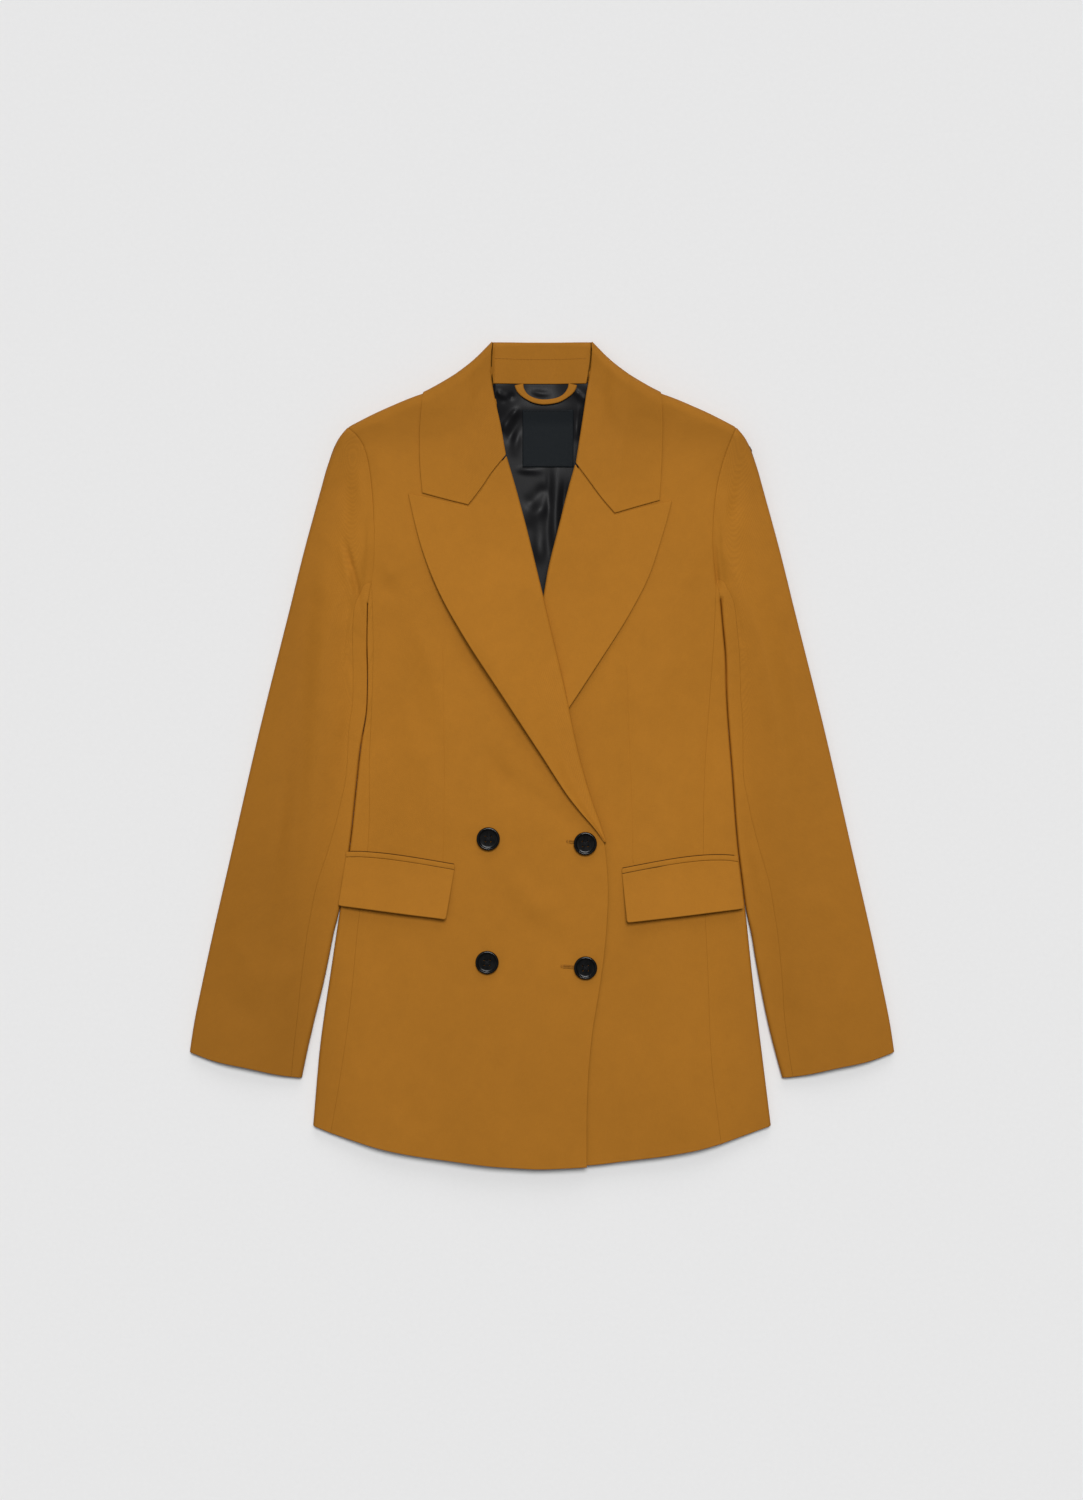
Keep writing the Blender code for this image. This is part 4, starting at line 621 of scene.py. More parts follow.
class Side:
    """The curves of one half of the garment, and the height of its cloth."""

    def __init__(self, name):
        self.name = name
        self.sign = -1.0 if name == "right" else 1.0
        half = mirrored if name == "right" else tuple
        self.shoulder = Edge(half(SHOULDER))
        self.outer = Edge(half(SLEEVE_OUTER))
        self.cuff = Edge(half(CUFF))
        self.hem = Edge(half(HEM))
        self.collar_top = Edge(half(COLLAR_TOP))
        self.fold_of_collar = Edge(half(COLLAR_TOP[::-1]))
        self.armhole = Edge(ARMHOLE[name])
        self.side_fold = Edge(SIDE_FOLD[name])
        self.inner = Edge(SLEEVE_INNER[name])
        self.roll = Edge(ROLL_LINE[name])

    def off_armhole(self, shares):
        """Directions square to the armhole, from the body to the sleeve."""
        near = 0.004
        ahead = (self.armhole.share(np.minimum(shares + near, 1.0))
                 - self.armhole.share(np.maximum(shares - near, 0.0)))
        return self.sign * quarter_turn(unit(ahead))

    def fold_lines(self, on_sleeve):
        return [self.shoulder, self.outer, self.inner if on_sleeve else self.side_fold]

    def form(self, points, on_sleeve):
        """Height of the upper face's plateau, distance to the fold, fold radius, lift."""
        x, y = points[..., 0], points[..., 1]
        *above, beside = (distance_to(points, edge.points)
                          for edge in self.fold_lines(on_sleeve))
        outer = np.minimum(*above)
        fold_distance = np.minimum(outer, beside)
        seam_distance = distance_to(points, self.armhole.points)
        lean = 0.5 * smooth_step(seam_distance / ARMHOLE_BLEND)
        sleeve_share = 0.5 + lean if on_sleeve else 0.5 - lean
        fold = look_up(FOLD_HEIGHT, y) * look_up(NECK_FALL, np.abs(x))
        reach = BODY_REACH + (SLEEVE_REACH - BODY_REACH) * sleeve_share
        body, sleeve = look_up(BODY_CROWN, y), look_up(SLEEVE_CROWN, y)
        crown = np.maximum(body + (sleeve - body) * sleeve_share, fold)
        filled, low = (smooth_step((run - fold / 2) / reach) for run in (outer, beside))
        filled = np.minimum(filled, low + (1.0 - low) * look_up(UNDERARM_EASE, y))
        lift = NECK_LIFT * ramp(y, NECK_LIFT_Y) * ramp(np.abs(x), NECK_LIFT_X)
        plateau = lift + fold + (crown - fold) * filled
        plateau = plateau + large_folds(points) * ramp(fold_distance, FOLD_FREE)
        if not on_sleeve:
            plateau = plateau + self.overlap(points)
        return plateau, fold_distance, fold / 2, lift

    def surface(self, points, faces, on_sleeve=False):
        """The cloth's outer face over flat points, with its creases.

        faces is 1 on the upper face, -1 on the underside and 0 on the fold."""
        plateau, distance, radius, lift = self.form(points, on_sleeve)
        inner = distance_to(points, (self.inner if on_sleeve else self.side_fold).points)
        squarer = look_up(TOUCHING[self.name], points[..., 1]) * self.touching(points)
        squarer = squarer * (inner < distance + 0.01)
        distance = np.where(faces == 0, 0.0, distance)
        drop = turn_drop(distance / (1.0 - squarer), radius)
        away = ramp(distance, CREASE_FREE)
        upper = plateau - drop + away * folds_at(points, CREASES) * depth_of_creases()
        under = lift + drop + away * folds_at(points, DENTS) * depth_of_creases()
        return laid_face(points, np.where(faces > 0, upper, under))

    def touching(self, points):
        """Share by which sleeve and body lie side by side in this row."""
        return ramp(points[..., 1], TOUCH_LOW_Y) * ramp(points[..., 1], TOUCH_HIGH_Y)

    def drawn_in(self, points):
        """The sleeve laid against the body's side, down to where they part."""
        rows = points[..., 1]
        inner, fold = (np.interp(-rows, -edge.points[:, 1], edge.points[:, 0])
                       for edge in (self.inner, self.side_fold))
        shift = np.clip(np.abs(inner - fold) - look_up(TOUCH_GAP, rows), 0.0, DRAW_MOST)
        near = smooth_step(1.0 - distance_to(points[..., :2], self.inner.points) / DRAW_REACH)
        out = points.copy()
        out[..., 0] -= self.sign * shift * near * ramp(rows, TOUCH_LOW_Y)
        return out

    def overlap(self, points):
        """Step of a front where it crosses the other one."""
        x, y = points[..., 0], points[..., 1]
        step = OVERLAP_LIFT if self.name == "right" else -OVERLAP_DIP
        edge_x = OVERLAP_START + OVERLAP_WIDER * ramp(y, OVERLAP_WIDENS_Y)
        return step * look_up(OVERLAP_SHARE, y) * smooth_step(
            (edge_x + OVERLAP_REACH - self.sign * x) / OVERLAP_REACH)


def large_folds(points):
    """Soft ridges and troughs of the cloth."""
    total = np.zeros(points.shape[:-1])
    for x0, y0, x1, y1, width, depth in FOLDS:
        start, step = np.array((x0, y0)), np.array((x1 - x0, y1 - y0))
        share = ((points - start) @ step) / (step @ step)
        off = points - start - np.clip(share, 0.0, 1.0)[..., None] * step
        across = (off**2).sum(-1) / width**2
        total = total + depth * np.exp(-across)
    return total


def folds_at(points, table):
    """Height of the listed creases: each fades to its ends, unevenly."""
    total = np.zeros(points.shape[:-1])
    for number, (x0, y0, x1, y1, bow, width, depth) in enumerate(table):
        start, step = np.array((x0, y0)), np.array((x1 - x0, y1 - y0))
        length = np.hypot(*step)
        way = step / length
        along = ((points - start) @ way) / length
        off = (points - start) @ -quarter_turn(way)
        off = off - bow * np.sin(math.pi * np.clip(along, 0.0, 1.0))
        half = width * (CREASE_WIDENS[0] + CREASE_WIDENS[1] * along)
        fade = np.exp(-((along - CREASE_MIDDLE) / CREASE_FADE)**4)
        uneven = 1.0 + CREASE_UNEVEN[0] * np.sin(CREASE_UNEVEN[1] * along
                                                 + CREASE_UNEVEN[2] * number)
        total = total + depth * uneven * fade * np.exp(-(off / np.maximum(half, 2.0))**2)
    return total


def depth_of_creases():
    return bpy.context.scene.blazer.crease_depth


# ---- flat grids of the panels ----------------------------------------------------

def even(count):
    return np.linspace(0.0, 1.0, count + 1)


def rows_down(edge_points_left, edge_points_right):
    """Mean share of the way down for each row of a panel."""
    left, right = chain(edge_points_left), chain(edge_points_right)
    return (left / left[-1] + right / right[-1]) / 2.0


def side_seam_edge(side):
    """Front panel to side panel: from the armhole down to the hem."""
    start = side.armhole.share(ARM_FRONT[-1])
    return Edge((tuple(start),) + SIDE_SEAM[side.name])


def front_grid(side):
    """Front: shoulder, armhole and side seam, hem, front edge and neckline."""
    inward = np.array((-side.sign * SEAM / 2, 0.0))
    turn = list(SHOULDER_TURN)
    arm = np.array(turn + list(ARM_FRONT))
    left = np.vstack((side.armhole.share(arm), side_seam_edge(side).share(BODY_ROWS)))
    inset = np.array(((side.sign * ROLL_INSET, 0.0),))
    roll = tuple(map(tuple, np.array(ROLL_LINE[side.name])[1:] + inset))
    edge = Edge(NECKLINE[side.name] + roll + FRONT_EDGE[side.name])
    near = np.array(turn) * side.armhole.length
    spread = chain(left)
    rest = (spread[len(turn):] - near[-1]) / (spread[-1] - near[-1])
    along = np.concatenate((near, near[-1] + rest * (edge.length - near[-1])))
    right = edge.at(along)
    hem = Edge(hem_between(side, left[-1][0], right[-1][0], even(HEM_STEPS)))
    left[:len(arm)] -= side.off_armhole(arm) * SEAM / 2
    left[len(arm) - 1:] += inward
    columns = even(FRONT_COLUMNS)
    flat = fill(side.shoulder, hem, left, right, columns, rows_down(left, right))
    corner = 3.0 * SEAM / side.shoulder.length
    flat[:, 0] = side.shoulder.share(corner + (1.0 - corner) * columns)
    faces = np.ones(flat.shape[:2])
    faces[:, 0] = 0
    under = flat[:, 2:0:-1]
    flat = np.concatenate((under, flat), axis=1)
    faces = np.concatenate((-np.ones(under.shape[:2]), faces), axis=1)
    return flat, faces


def hem_between(side, from_x, to_x, columns):
    """Hem points between two places across, whichever side of the centre they are."""
    x = from_x + (to_x - from_x) * np.asarray(columns)
    curve = side.hem.points
    y = np.interp(np.abs(x), np.abs(curve[:, 0]), curve[:, 1])
    return np.stack((x, y), axis=-1)


def side_panel_grid(side):
    """Side panel: from the front's seam, round the side fold, to the back's seam."""
    inward = np.array((-side.sign * SEAM / 2, 0.0))
    seam = side_seam_edge(side).share(BODY_ROWS)
    fold = side.side_fold.share(BODY_ROWS)
    back = back_seam_edge(side).share(BODY_ROWS)
    arm_top = np.array((ARM_FRONT[-1],) + UNDERARM_TURN)
    arm_under = np.array(UNDERARM_TURN[::-1] + ARM_BACK)
    top_grid = strip(side.armhole.share(arm_top), seam, fold, -1.0)
    under_grid = strip(side.armhole.share(arm_under), fold, back, 1.0)
    top_grid[0] -= inward
    under_grid[-1] -= inward
    flat = np.concatenate((top_grid, under_grid[1:]), axis=0)
    faces = np.ones(flat.shape[:2])
    faces[len(top_grid) - 1] = 0
    faces[len(top_grid):] = -1
    flat[:, 0] -= side.off_armhole(np.concatenate((arm_top, arm_under[1:]))) * SEAM / 2
    return flat, faces


def strip(top, first, last, growing):
    """Grid from a line of armhole points down between two seams.

    Columns crowd towards the fold, where the cloth turns: growing is 1 where the fold
    is the first seam and -1 where it is the last."""
    columns = len(top)
    rows = np.concatenate((top[:1], first)), np.concatenate((top[-1:], last))
    widths = np.hypot(*(rows[1] - rows[0]).T)
    radius = look_up(FOLD_HEIGHT, rows[0][:, 1]) / 2
    grid = np.zeros((columns, len(first) + 1, 2))
    grid[:, 0] = top
    for row in range(1, len(first) + 1):
        turned = radius[row] * (1 - np.cos(np.radians(PANEL_TURN)))
        turned = np.minimum(turned, widths[row] * np.array(PANEL_TURN_MOST))
        rest = columns - len(turned)
        beyond = turned[-1] + (widths[row] - turned[-1]) * even(rest)[1:]
        share = np.concatenate((turned, beyond)) / widths[row]
        if growing < 0:
            share = 1.0 - share[::-1]
        grid[:, row] = rows[0][row] + share[:, None] * (rows[1][row] - rows[0][row])
    return grid


def back_seam_edge(side):
    """Side panel to back, on the underside: from the armhole down to the hem."""
    fold = side.side_fold
    rows = [side.armhole.share(ARM_BACK[-1])]
    for height, inside in BACK_SEAM:
        rows.append(fold.at(fold.where_y(height)) - (side.sign * inside, 0.0))
    end_x = side.sign * (abs(SIDE_FOLD[side.name][-1][0]) - BACK_SEAM[-1][1])
    return Edge(rows + [hem_between(side, end_x, end_x, (0.0,))[0]])


def back_grid(side, front_seam_row):
    """Back: shoulder, armhole and side-back seam, hem and centre seam."""
    inward = np.array((-side.sign * SEAM / 2, 0.0))
    start = SHOULDER_TURN[2] + SHOULDER_GAP / side.armhole.length
    arm = np.array((start, SHOULDER_TURN[3]) + ARM_BACK_UPPER[::-1] + (ARM_BACK[-1],))
    left = np.vstack((side.armhole.share(arm), back_seam_edge(side).share(BODY_ROWS)))
    left[:len(arm)] -= side.off_armhole(arm) * SEAM / 2
    left[len(arm) - 1:] += inward
    seam = front_seam_row + np.array((0.0, -SHOULDER_GAP))
    seam[0] = left[0]
    neck = ((side.sign * BACK_NECK_HALF, BACK_NECK), (side.sign * SEAM / 2, BACK_NECK))
    top = Edge(seam, (tuple(seam[-1]),) + neck)
    hem = Edge(hem_between(side, left[-1][0], side.sign * SEAM / 2, even(HEM_STEPS)))
    down = rows_down(left, left)
    right = top.share(1.0) + down[:, None] * (hem.share(1.0) - top.share(1.0))
    flat = fill(top, hem, left, right, even(BACK_COLUMNS), down)
    return flat, -np.ones(flat.shape[:2])


def sleeve_grid(side, arm_shares, seam_column, seam_from_inner):
    """One face of the sleeve as a grid from the outer fold to the inner fold."""
    outer_rows, inner_rows = np.array(SLEEVE_ROWS).T
    outer, inner = side.outer.share(outer_rows), side.inner.share(inner_rows)
    down = (outer_rows + inner_rows) / 2
    across = np.zeros((len(arm_shares), len(down)))
    for row, share in enumerate(inner_rows):
        width = np.hypot(*(inner[row] - outer[row]))
        radius = look_up(FOLD_HEIGHT, (outer[row][1] + inner[row][1]) / 2) / 2
        first = radius * (1 - np.cos(np.radians(TURN_ANGLES)))
        last = width - radius * np.array((1.0, 1 - math.cos(math.radians(TURN_ANGLES[1])), 0.0))
        seam_at = (width - look_up(FOREARM_SEAM, share)) if seam_from_inner else HIND_SEAM
        count = len(arm_shares) - len(first) - len(last)
        places = fill_between(first, last, count, seam_column, seam_at) / width
        blend = ramp(outer_rows[row], SLEEVE_EVEN)
        across[:, row] = arm_shares * (1 - blend) + places * blend
    grid = fill(side.armhole, side.cuff, outer, inner, across, down)

    line = np.vstack((side.armhole.points, side.inner.points))[::-1]
    inside = side.sign * (grid[..., 0] - np.interp(grid[..., 1], line[:, 1], line[:, 0]))
    up = (1.0 - arm_shares)[:, None] * side.armhole.length
    below = inner_rows[None] * side.inner.length
    wanted = np.minimum(SPREAD_SHARE * up, SPREAD_SQUARE * up**2)
    wanted = np.minimum(wanted, SPREAD_MEAN * np.sqrt(up * below))
    wanted = np.minimum(wanted, SPREAD_START + SPREAD_ROOT * np.sqrt(below))
    wanted = np.minimum(wanted, SPREAD_MOST + SPREAD_GROWTH * up)
    wanted = wanted * ramp(inner_rows, SPREAD_ROWS)[None]
    grid[..., 0] += side.sign * np.maximum(wanted - inside, 0.0) * (below > 0.0)
    grid[:, 0] += side.off_armhole(arm_shares) * SEAM / 2
    return grid


def fill_between(first, last, count, seam_column, seam_at):
    """Even places between two turned folds, with one column on a seam."""
    total = len(first) + count + len(last)
    knots = [0, len(first) - 1, seam_column, len(first) + count, total - 1]
    places = [first[0], first[-1], seam_at, last[0], last[-1]]
    order = np.argsort(knots)
    knots, places = np.array(knots)[order], np.array(places)[order]
    out = np.interp(np.arange(total), knots, places)
    out[:len(first)] = first
    out[total - len(last):] = last
    return out


def sleeve_grids(side):
    """Top sleeve and under sleeve."""
    upper_arm = np.array(SHOULDER_TURN + ARM_FRONT + UNDERARM_TURN)
    under_arm = np.unique(SHOULDER_TURN + ARM_BACK_UPPER + ARM_BACK + UNDERARM_TURN)
    forearm = len(SHOULDER_TURN) + len(ARM_FRONT) - 1
    hind = len(SHOULDER_TURN)
    upper = sleeve_grid(side, upper_arm, forearm, True)
    under = sleeve_grid(side, under_arm, hind, False)
    top_flat = np.concatenate((under[hind:0:-1], upper[:forearm + 1]), axis=0)
    top_faces = np.concatenate((-np.ones(hind), (0.0,), np.ones(forearm)))
    under_flat = np.concatenate((upper[forearm:], under[-2:hind - 1:-1]), axis=0)
    turn = len(upper) - 1 - forearm
    under_faces = np.concatenate((np.ones(turn), (0.0,), -np.ones(len(under_flat) - turn - 1)))
    across = np.array((side.sign * SEAM / 2, 0.0))
    top_flat[0] += across
    top_flat[-1] += across
    under_flat[0] -= across
    under_flat[-1] -= across
    grids = []
    for flat, sides in ((top_flat, top_faces), (under_flat, under_faces)):
        grids.append((flat, np.repeat(sides[:, None], flat.shape[1], axis=1)))
    return grids


# ---- from grid to cloth ----------------------------------------------------------

ALL_EDGES = ((0, False), (0, True), (1, False), (1, True))
SEWN_ROUND = ALL_EDGES[:3]      # sewn all round but for the lower edge
SEWN_FRONT = (ALL_EDGES[0], ALL_EDGES[2])


def finer(grid, times, corner=None):
    """More lines between those of a grid, smoothly and without overshoot.

    The column named corner stays a corner."""
    for axis in (0, 1):
        grid = np.moveaxis(grid, axis, 0)
        step = np.diff(grid, axis=0)
        agree = step[:-1] * step[1:] > 0.0
        total = np.where(agree, step[:-1] + step[1:], 1.0)
        inner = np.where(agree, 2.0 * step[:-1] * step[1:] / total, 0.0)
        slope = np.concatenate((step[:1], inner, step[-1:]))[:, None]
        start, end = slope[:-1].copy(), slope[1:].copy()
        if corner is not None and axis == 0:
            end[corner - 1], start[corner] = step[corner - 1], step[corner]
        share = (np.arange(times) / times).reshape((1, times) + (1,) * (grid.ndim - 1))
        first, last = grid[:-1, None], grid[1:, None]
        fine = cubic(share, first, start, last, end).reshape((-1,) + grid.shape[1:])
        grid = np.moveaxis(np.concatenate((fine, grid[-1:])), 0, axis)
    return grid


def finer_faces(faces, times):
    """Which way the points of the finer grid face: a cell faces as the side it is on."""
    for axis in (0, 1):
        faces = np.moveaxis(faces, axis, 0)
        cells = np.where(faces[:-1] != 0, faces[:-1], faces[1:])
        fine = np.repeat(cells, times, axis=0)
        fine[::times] = faces[:-1]
        faces = np.moveaxis(np.concatenate((fine, faces[-1:])), 0, axis)
    return faces


def crowd(grid, faces, edges=ALL_EDGES):
    """Close lines just inside the edges, where the cloth rounds off."""
    for axis, from_end in edges:
        lines, flags = np.moveaxis(grid, axis, 0), np.moveaxis(faces, axis, 0)
        if from_end:
            lines, flags = lines[::-1], flags[::-1]
        width = np.maximum(np.linalg.norm(lines[1, ..., :2] - lines[0, ..., :2], axis=-1), 1e-6)
        extra = []
        for count, distance in enumerate(EDGE_LINES, 1):
            share = np.minimum(distance / width, count / (len(EDGE_LINES) + 1.0))
            extra.append(lines[0] + share[..., None] * (lines[1] - lines[0]))
        flag = np.where(flags[1] != 0, flags[1], flags[0])
        lines = np.concatenate((lines[:1], np.array(extra), lines[1:]))
        flags = np.concatenate((flags[:1], np.repeat(flag[None], len(extra), axis=0), flags[1:]))
        if from_end:
            lines, flags = lines[::-1], flags[::-1]
        grid, faces = np.moveaxis(lines, 0, axis), np.moveaxis(flags, 0, axis)
    return grid, faces


def denser(flat, faces, channels=(), times=BODY_FINER, edges=ALL_EDGES, corner=None):
    """The finer grid of a piece, with other values that go along with its points."""
    whole = np.concatenate([flat] + [channel[..., None] for channel in channels], axis=-1)
    whole, faces = crowd(finer(whole, times, corner), finer_faces(faces, times), edges)
    return whole[..., :2], faces, [whole[..., 2 + n] for n in range(len(channels))]


def run_along(points, axis):
    """Distance from the first line of a grid, along its other lines."""
    steps = np.linalg.norm(np.diff(points, axis=axis), axis=-1)
    start = np.zeros_like(np.take(steps, [0], axis=axis))
    return np.concatenate((start, np.cumsum(steps, axis=axis)), axis=axis)


def inside_edges(points, edges=ALL_EDGES):
    """Distance of each point to the nearest of the named edges."""
    nearest = np.full(points.shape[:2], 1e3)
    for axis, from_end in edges:
        run = run_along(points, axis)
        if from_end:
            run = np.take(run, [-1], axis=axis) - run
        nearest = np.minimum(nearest, run)
    return nearest


def grain(points):
    """Flat coordinates of the cloth: along it over folds, and straight where it is flat."""
    across = np.hypot(*np.moveaxis(np.diff(points[..., (0, 2)], axis=0), -1, 0))
    down = np.hypot(*np.moveaxis(np.diff(points[..., (1, 2)], axis=1), -1, 0))
    middle = points.shape[0] // 2
    u = np.concatenate((np.zeros((1, points.shape[1])), np.cumsum(across, axis=0)))
    u = u - u[middle] + np.abs(points[middle, :, 0])
    v = np.concatenate((np.zeros((points.shape[0], 1)), np.cumsum(down, axis=1)), axis=1)
    return np.stack((u, points[:, :1, 1] - v), axis=-1)


def laid_face(flat, height):
    return np.concatenate((flat, height[..., None]), axis=-1)


def square_to(points, faces):
    """Directions square to a grid, out of the garment, and whether its winding turns over."""
    normal = np.cross(np.gradient(points, axis=0), np.gradient(points, axis=1))
    turned = (normal[..., 2] * faces).sum() < 0.0
    normal = normal * (-1.0 if turned else 1.0)
    length = np.linalg.norm(normal, axis=-1, keepdims=True)
    return normal / np.maximum(length, 1e-9), turned


def mesh_of(name, shape):
    mesh = bpy.data.meshes.new(name)
    shape.to_mesh(mesh)
    shape.free()
    return mesh


def placed(name, data):
    """A new object in the scene."""
    thing = bpy.data.objects.new(name, data)
    bpy.context.scene.collection.objects.link(thing)
    return thing


def cloth(name, outer, faces, wall, materials, edges=ALL_EDGES, sewn=()):
    """A piece of cloth: a shell with rounded edges that sinks into its seams.

    It stands for the solid of the same name."""
    normal, turned = square_to(outer, faces)
    half = wall / 2.0
    free = turn_drop(inside_edges(outer, [edge for edge in edges if edge not in sewn]), half)
    seam = inside_edges(outer, sewn)
    share = look_up(SEWN_ROUNDING, outer[..., 1])
    rounding = EDGE_ROUNDING * np.maximum(free, share * turn_drop(seam, half))[..., None]
    sunk = (look_up(SEAM_SINK, outer[..., 1]) * np.exp(-(seam / SINK_REACH)**2))[..., None]
    face = outer - (sunk + rounding) * normal
    back = outer - (sunk + wall - rounding) * normal
    flat = grain(outer)

    shape = bmesh.new()
    columns, rows = outer.shape[0] - 1, outer.shape[1] - 1
    bmesh.ops.create_grid(shape, x_segments=columns, y_segments=rows, size=1.0)
    extruded = bmesh.ops.extrude_face_region(shape, geom=shape.faces[:], use_keep_orig=True)
    behind = [item for item in extruded["geom"] if isinstance(item, bmesh.types.BMVert)]
    bmesh.ops.translate(shape, verts=behind, vec=(0.0, 0.0, -1.0))
    bmesh.ops.recalc_face_normals(shape, faces=shape.faces[:])
    mesh = mesh_of(name, shape)

    place = np.empty(3 * len(mesh.vertices))
    mesh.vertices.foreach_get("co", place)
    place = place.reshape(-1, 3)
    column = np.rint((place[:, 0] + 1.0) / 2.0 * columns).astype(int)
    row = np.rint((place[:, 1] + 1.0) / 2.0 * rows).astype(int)
    hidden = (place[:, 2] < -0.5).astype(int)
    mesh.vertices.foreach_set("co", (np.stack((face, back))[hidden, column, row] * MM).ravel())
    corner = np.empty(len(mesh.loops), np.int32)
    mesh.loops.foreach_get("vertex_index", corner)
    layer = mesh.uv_layers.new(name="Grain")
    layer.uv.foreach_set("vector", (flat[column[corner], row[corner]] * MM).ravel())
    inner_face = hidden[corner].reshape(-1, 4).all(axis=1)
    mesh.polygons.foreach_set("material_index", inner_face.astype(np.int32) * (len(materials) - 1))
    if turned:
        mesh.flip_normals()
    mesh.update()
    mesh.shade_smooth()
    for material in materials:
        mesh.materials.append(material)

    piece = placed(name + "_cloth", mesh)
    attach(piece, "root")
    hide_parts(name)
    return piece


def made(name):
    """A piece that an earlier step made, or an error that says it is missing."""
    piece = bpy.data.objects.get(name)
    if piece is None:
        raise RuntimeError(f"{name} isn't there yet: make the pieces in the panel's order")
    return piece


def skins_of(*names):
    """The cloth pieces of these names, in millimetres, for what lies on them."""
    skins = []
    for name in names:
        mesh = made(name + "_cloth").data
        points = [vertex.co / MM for vertex in mesh.vertices]
        faces = [tuple(face.vertices) for face in mesh.polygons]
        skins.append(BVHTree.FromPolygons(points, faces))
    return skins


def body_skins(side):
    return skins_of("front_" + side.name, "side_panel_" + side.name)


def top_at(skins, x, y):
    """Height of the topmost skin at a place, or None where there is no cloth."""
    hits = [skin.ray_cast(Vector((x, y, 1000.0)), Vector((0.0, 0.0, -1.0)))[0] for skin in skins]
    return max((hit.z for hit in hits if hit is not None), default=None)


def lay(name, flat, height, shell, material, faces=None, edges=ALL_EDGES):
    """A piece of one material over a flat grid, face up unless faces says otherwise."""
    faces = np.ones(flat.shape[:2]) if faces is None else faces
    return cloth(name, laid_face(flat, height), faces, shell, (material,), edges)


# ---- trims -----------------------------------------------------------------------

def lapel_grid(side, skins):
    """Peak lapel, rolled over the front's edge, with a narrow return behind it."""
    gorge, notch_edge = LAPEL_TOP[side.name][:4], LAPEL_TOP[side.name][3:]
    top, outer = Edge(gorge, notch_edge), Edge(LAPEL_EDGE[side.name])
    roll = Edge(ROLL_LINE[side.name] + LAPEL_TIP[side.name])
    end = Edge((tuple(roll.share(1.0)), tuple(outer.share(1.0))))
    rows = even(LAPEL_ROWS)
    roll_points, outer_points = roll.share(rows), outer.share(rows)
    width = np.hypot(*(outer_points - roll_points).T)
    slim = np.minimum(width / SLIM_WIDTH, 1.0)
    corner = (Edge(gorge).length - ROLL_RADIUS) / (top.length - ROLL_RADIUS)
    beyond = np.concatenate((corner * np.array(GORGE_COLUMNS),
                             corner + (1 - corner) * even(4)[1:]))
    turned = np.array((ROLL_RETURN, ROLL_RADIUS, ROLL_TURN, 0.0, ROLL_TURN, ROLL_RADIUS))
    rolled = len(turned)
    reach = np.concatenate((turned[:, None] * slim,
                            ROLL_RADIUS * slim + beyond[:, None] * (width - ROLL_RADIUS * slim)))
    width[0] = top.length
    reach[rolled:, 0] = ROLL_RADIUS + beyond * (top.length - ROLL_RADIUS)
    flat = fill(top, end, roll_points, outer_points, reach / width, rows)
    faces = np.ones(flat.shape[:2])
    faces[:3], faces[3] = -1, 0

    query = flat.copy()
    share = (ROLL_RADIUS + ROLL_CLEAR) * slim[None] / width[None]
    query[:rolled] = fill(top, end, roll_points, outer_points,
                          np.repeat(share, rolled, axis=0), rows)
    highest, lowest = resting(skins, query, LAPEL_REST, side.form(query, False)[0])
    above = highest + STACK
    radius = (above - (lowest - BODY_WALL - STACK)) / 2 * slim**0.3
    return flat, faces, (reach, above, radius, np.broadcast_to(slim, reach.shape))


def resting(skins, points, reach, otherwise):
    """Highest and lowest height of the panels within reach of each point."""
    turns = np.radians(np.arange(0.0, 360.0, 45.0))
    around = [(0.0, 0.0)] + [(reach * math.cos(t), reach * math.sin(t)) for t in turns]
    highest, lowest = otherwise.copy(), otherwise.copy()
    for place in np.ndindex(otherwise.shape):
        x, y = points[place]
        found = [top_at(skins, x + dx, y + dy) for dx, dy in around]
        found = [height for height in found if height is not None]
        if found:
            highest[place], lowest[place] = max(found), min(found)
    return highest, lowest


def collar_grid(sides, skins):
    """Collar: both front wings and the part behind the neck, in one piece."""
    wing_rows, back_rows = np.array(COLLAR_WING_ROWS), np.array(COLLAR_BACK_ROWS)
    wings = []
    for side in sides:
        gorge, end_edge = LEAF_END[side.name][:4], LEAF_END[side.name][3:]
        end = Edge(gorge, end_edge)
        corner = Edge(gorge).length / end.length
        columns = np.concatenate((corner * np.array(LEAF_COLUMNS),
                                  corner + (1 - corner) * even(3)))
        wings.append(fill(end, side.fold_of_collar, Edge(LEAF_INNER[side.name]).share(wing_rows),
                          Edge(LEAF_OUTER[side.name]).share(wing_rows), columns, wing_rows))
    ends = [wing[:, -1] for wing in wings]
    upper = ends[0][0] + back_rows[:, None] * (ends[1][0] - ends[0][0])
    lower = Edge(LEAF_BACK_EDGE).share(back_rows)
    share = columns[:, None, None]
    behind = (1 - share) * upper[None] + share * lower[None]
    for wing_end, weight in ((ends[0], 1 - back_rows), (ends[1], back_rows)):
        chord = wing_end[0] + columns[:, None] * (wing_end[-1] - wing_end[0])
        behind += (wing_end - chord)[:, None] * (weight**LEAF_SETTLES)[None, :, None]
    flat = np.concatenate((wings[0], behind[:, 1:-1], wings[1][:, ::-1]), axis=1)

    faces = np.ones(flat.shape[:2])
    first, last = len(wing_rows) - 1, flat.shape[1] - len(wing_rows)
    faces[:, first:last + 1] = -1
    faces[:, first], faces[:, last], faces[0, first:last + 1] = 0, 0, 0

    on_right = flat[..., 0] < 0
    plateaus = [side.form(flat, False)[0] for side in sides]
    plateau = np.where(on_right, *plateaus)
    rest = np.where(on_right, *(resting(skins, flat, COLLAR_REST, low)[0] for low in plateaus))
    return flat, faces, (plateau, np.maximum(rest - plateau, 0.0))


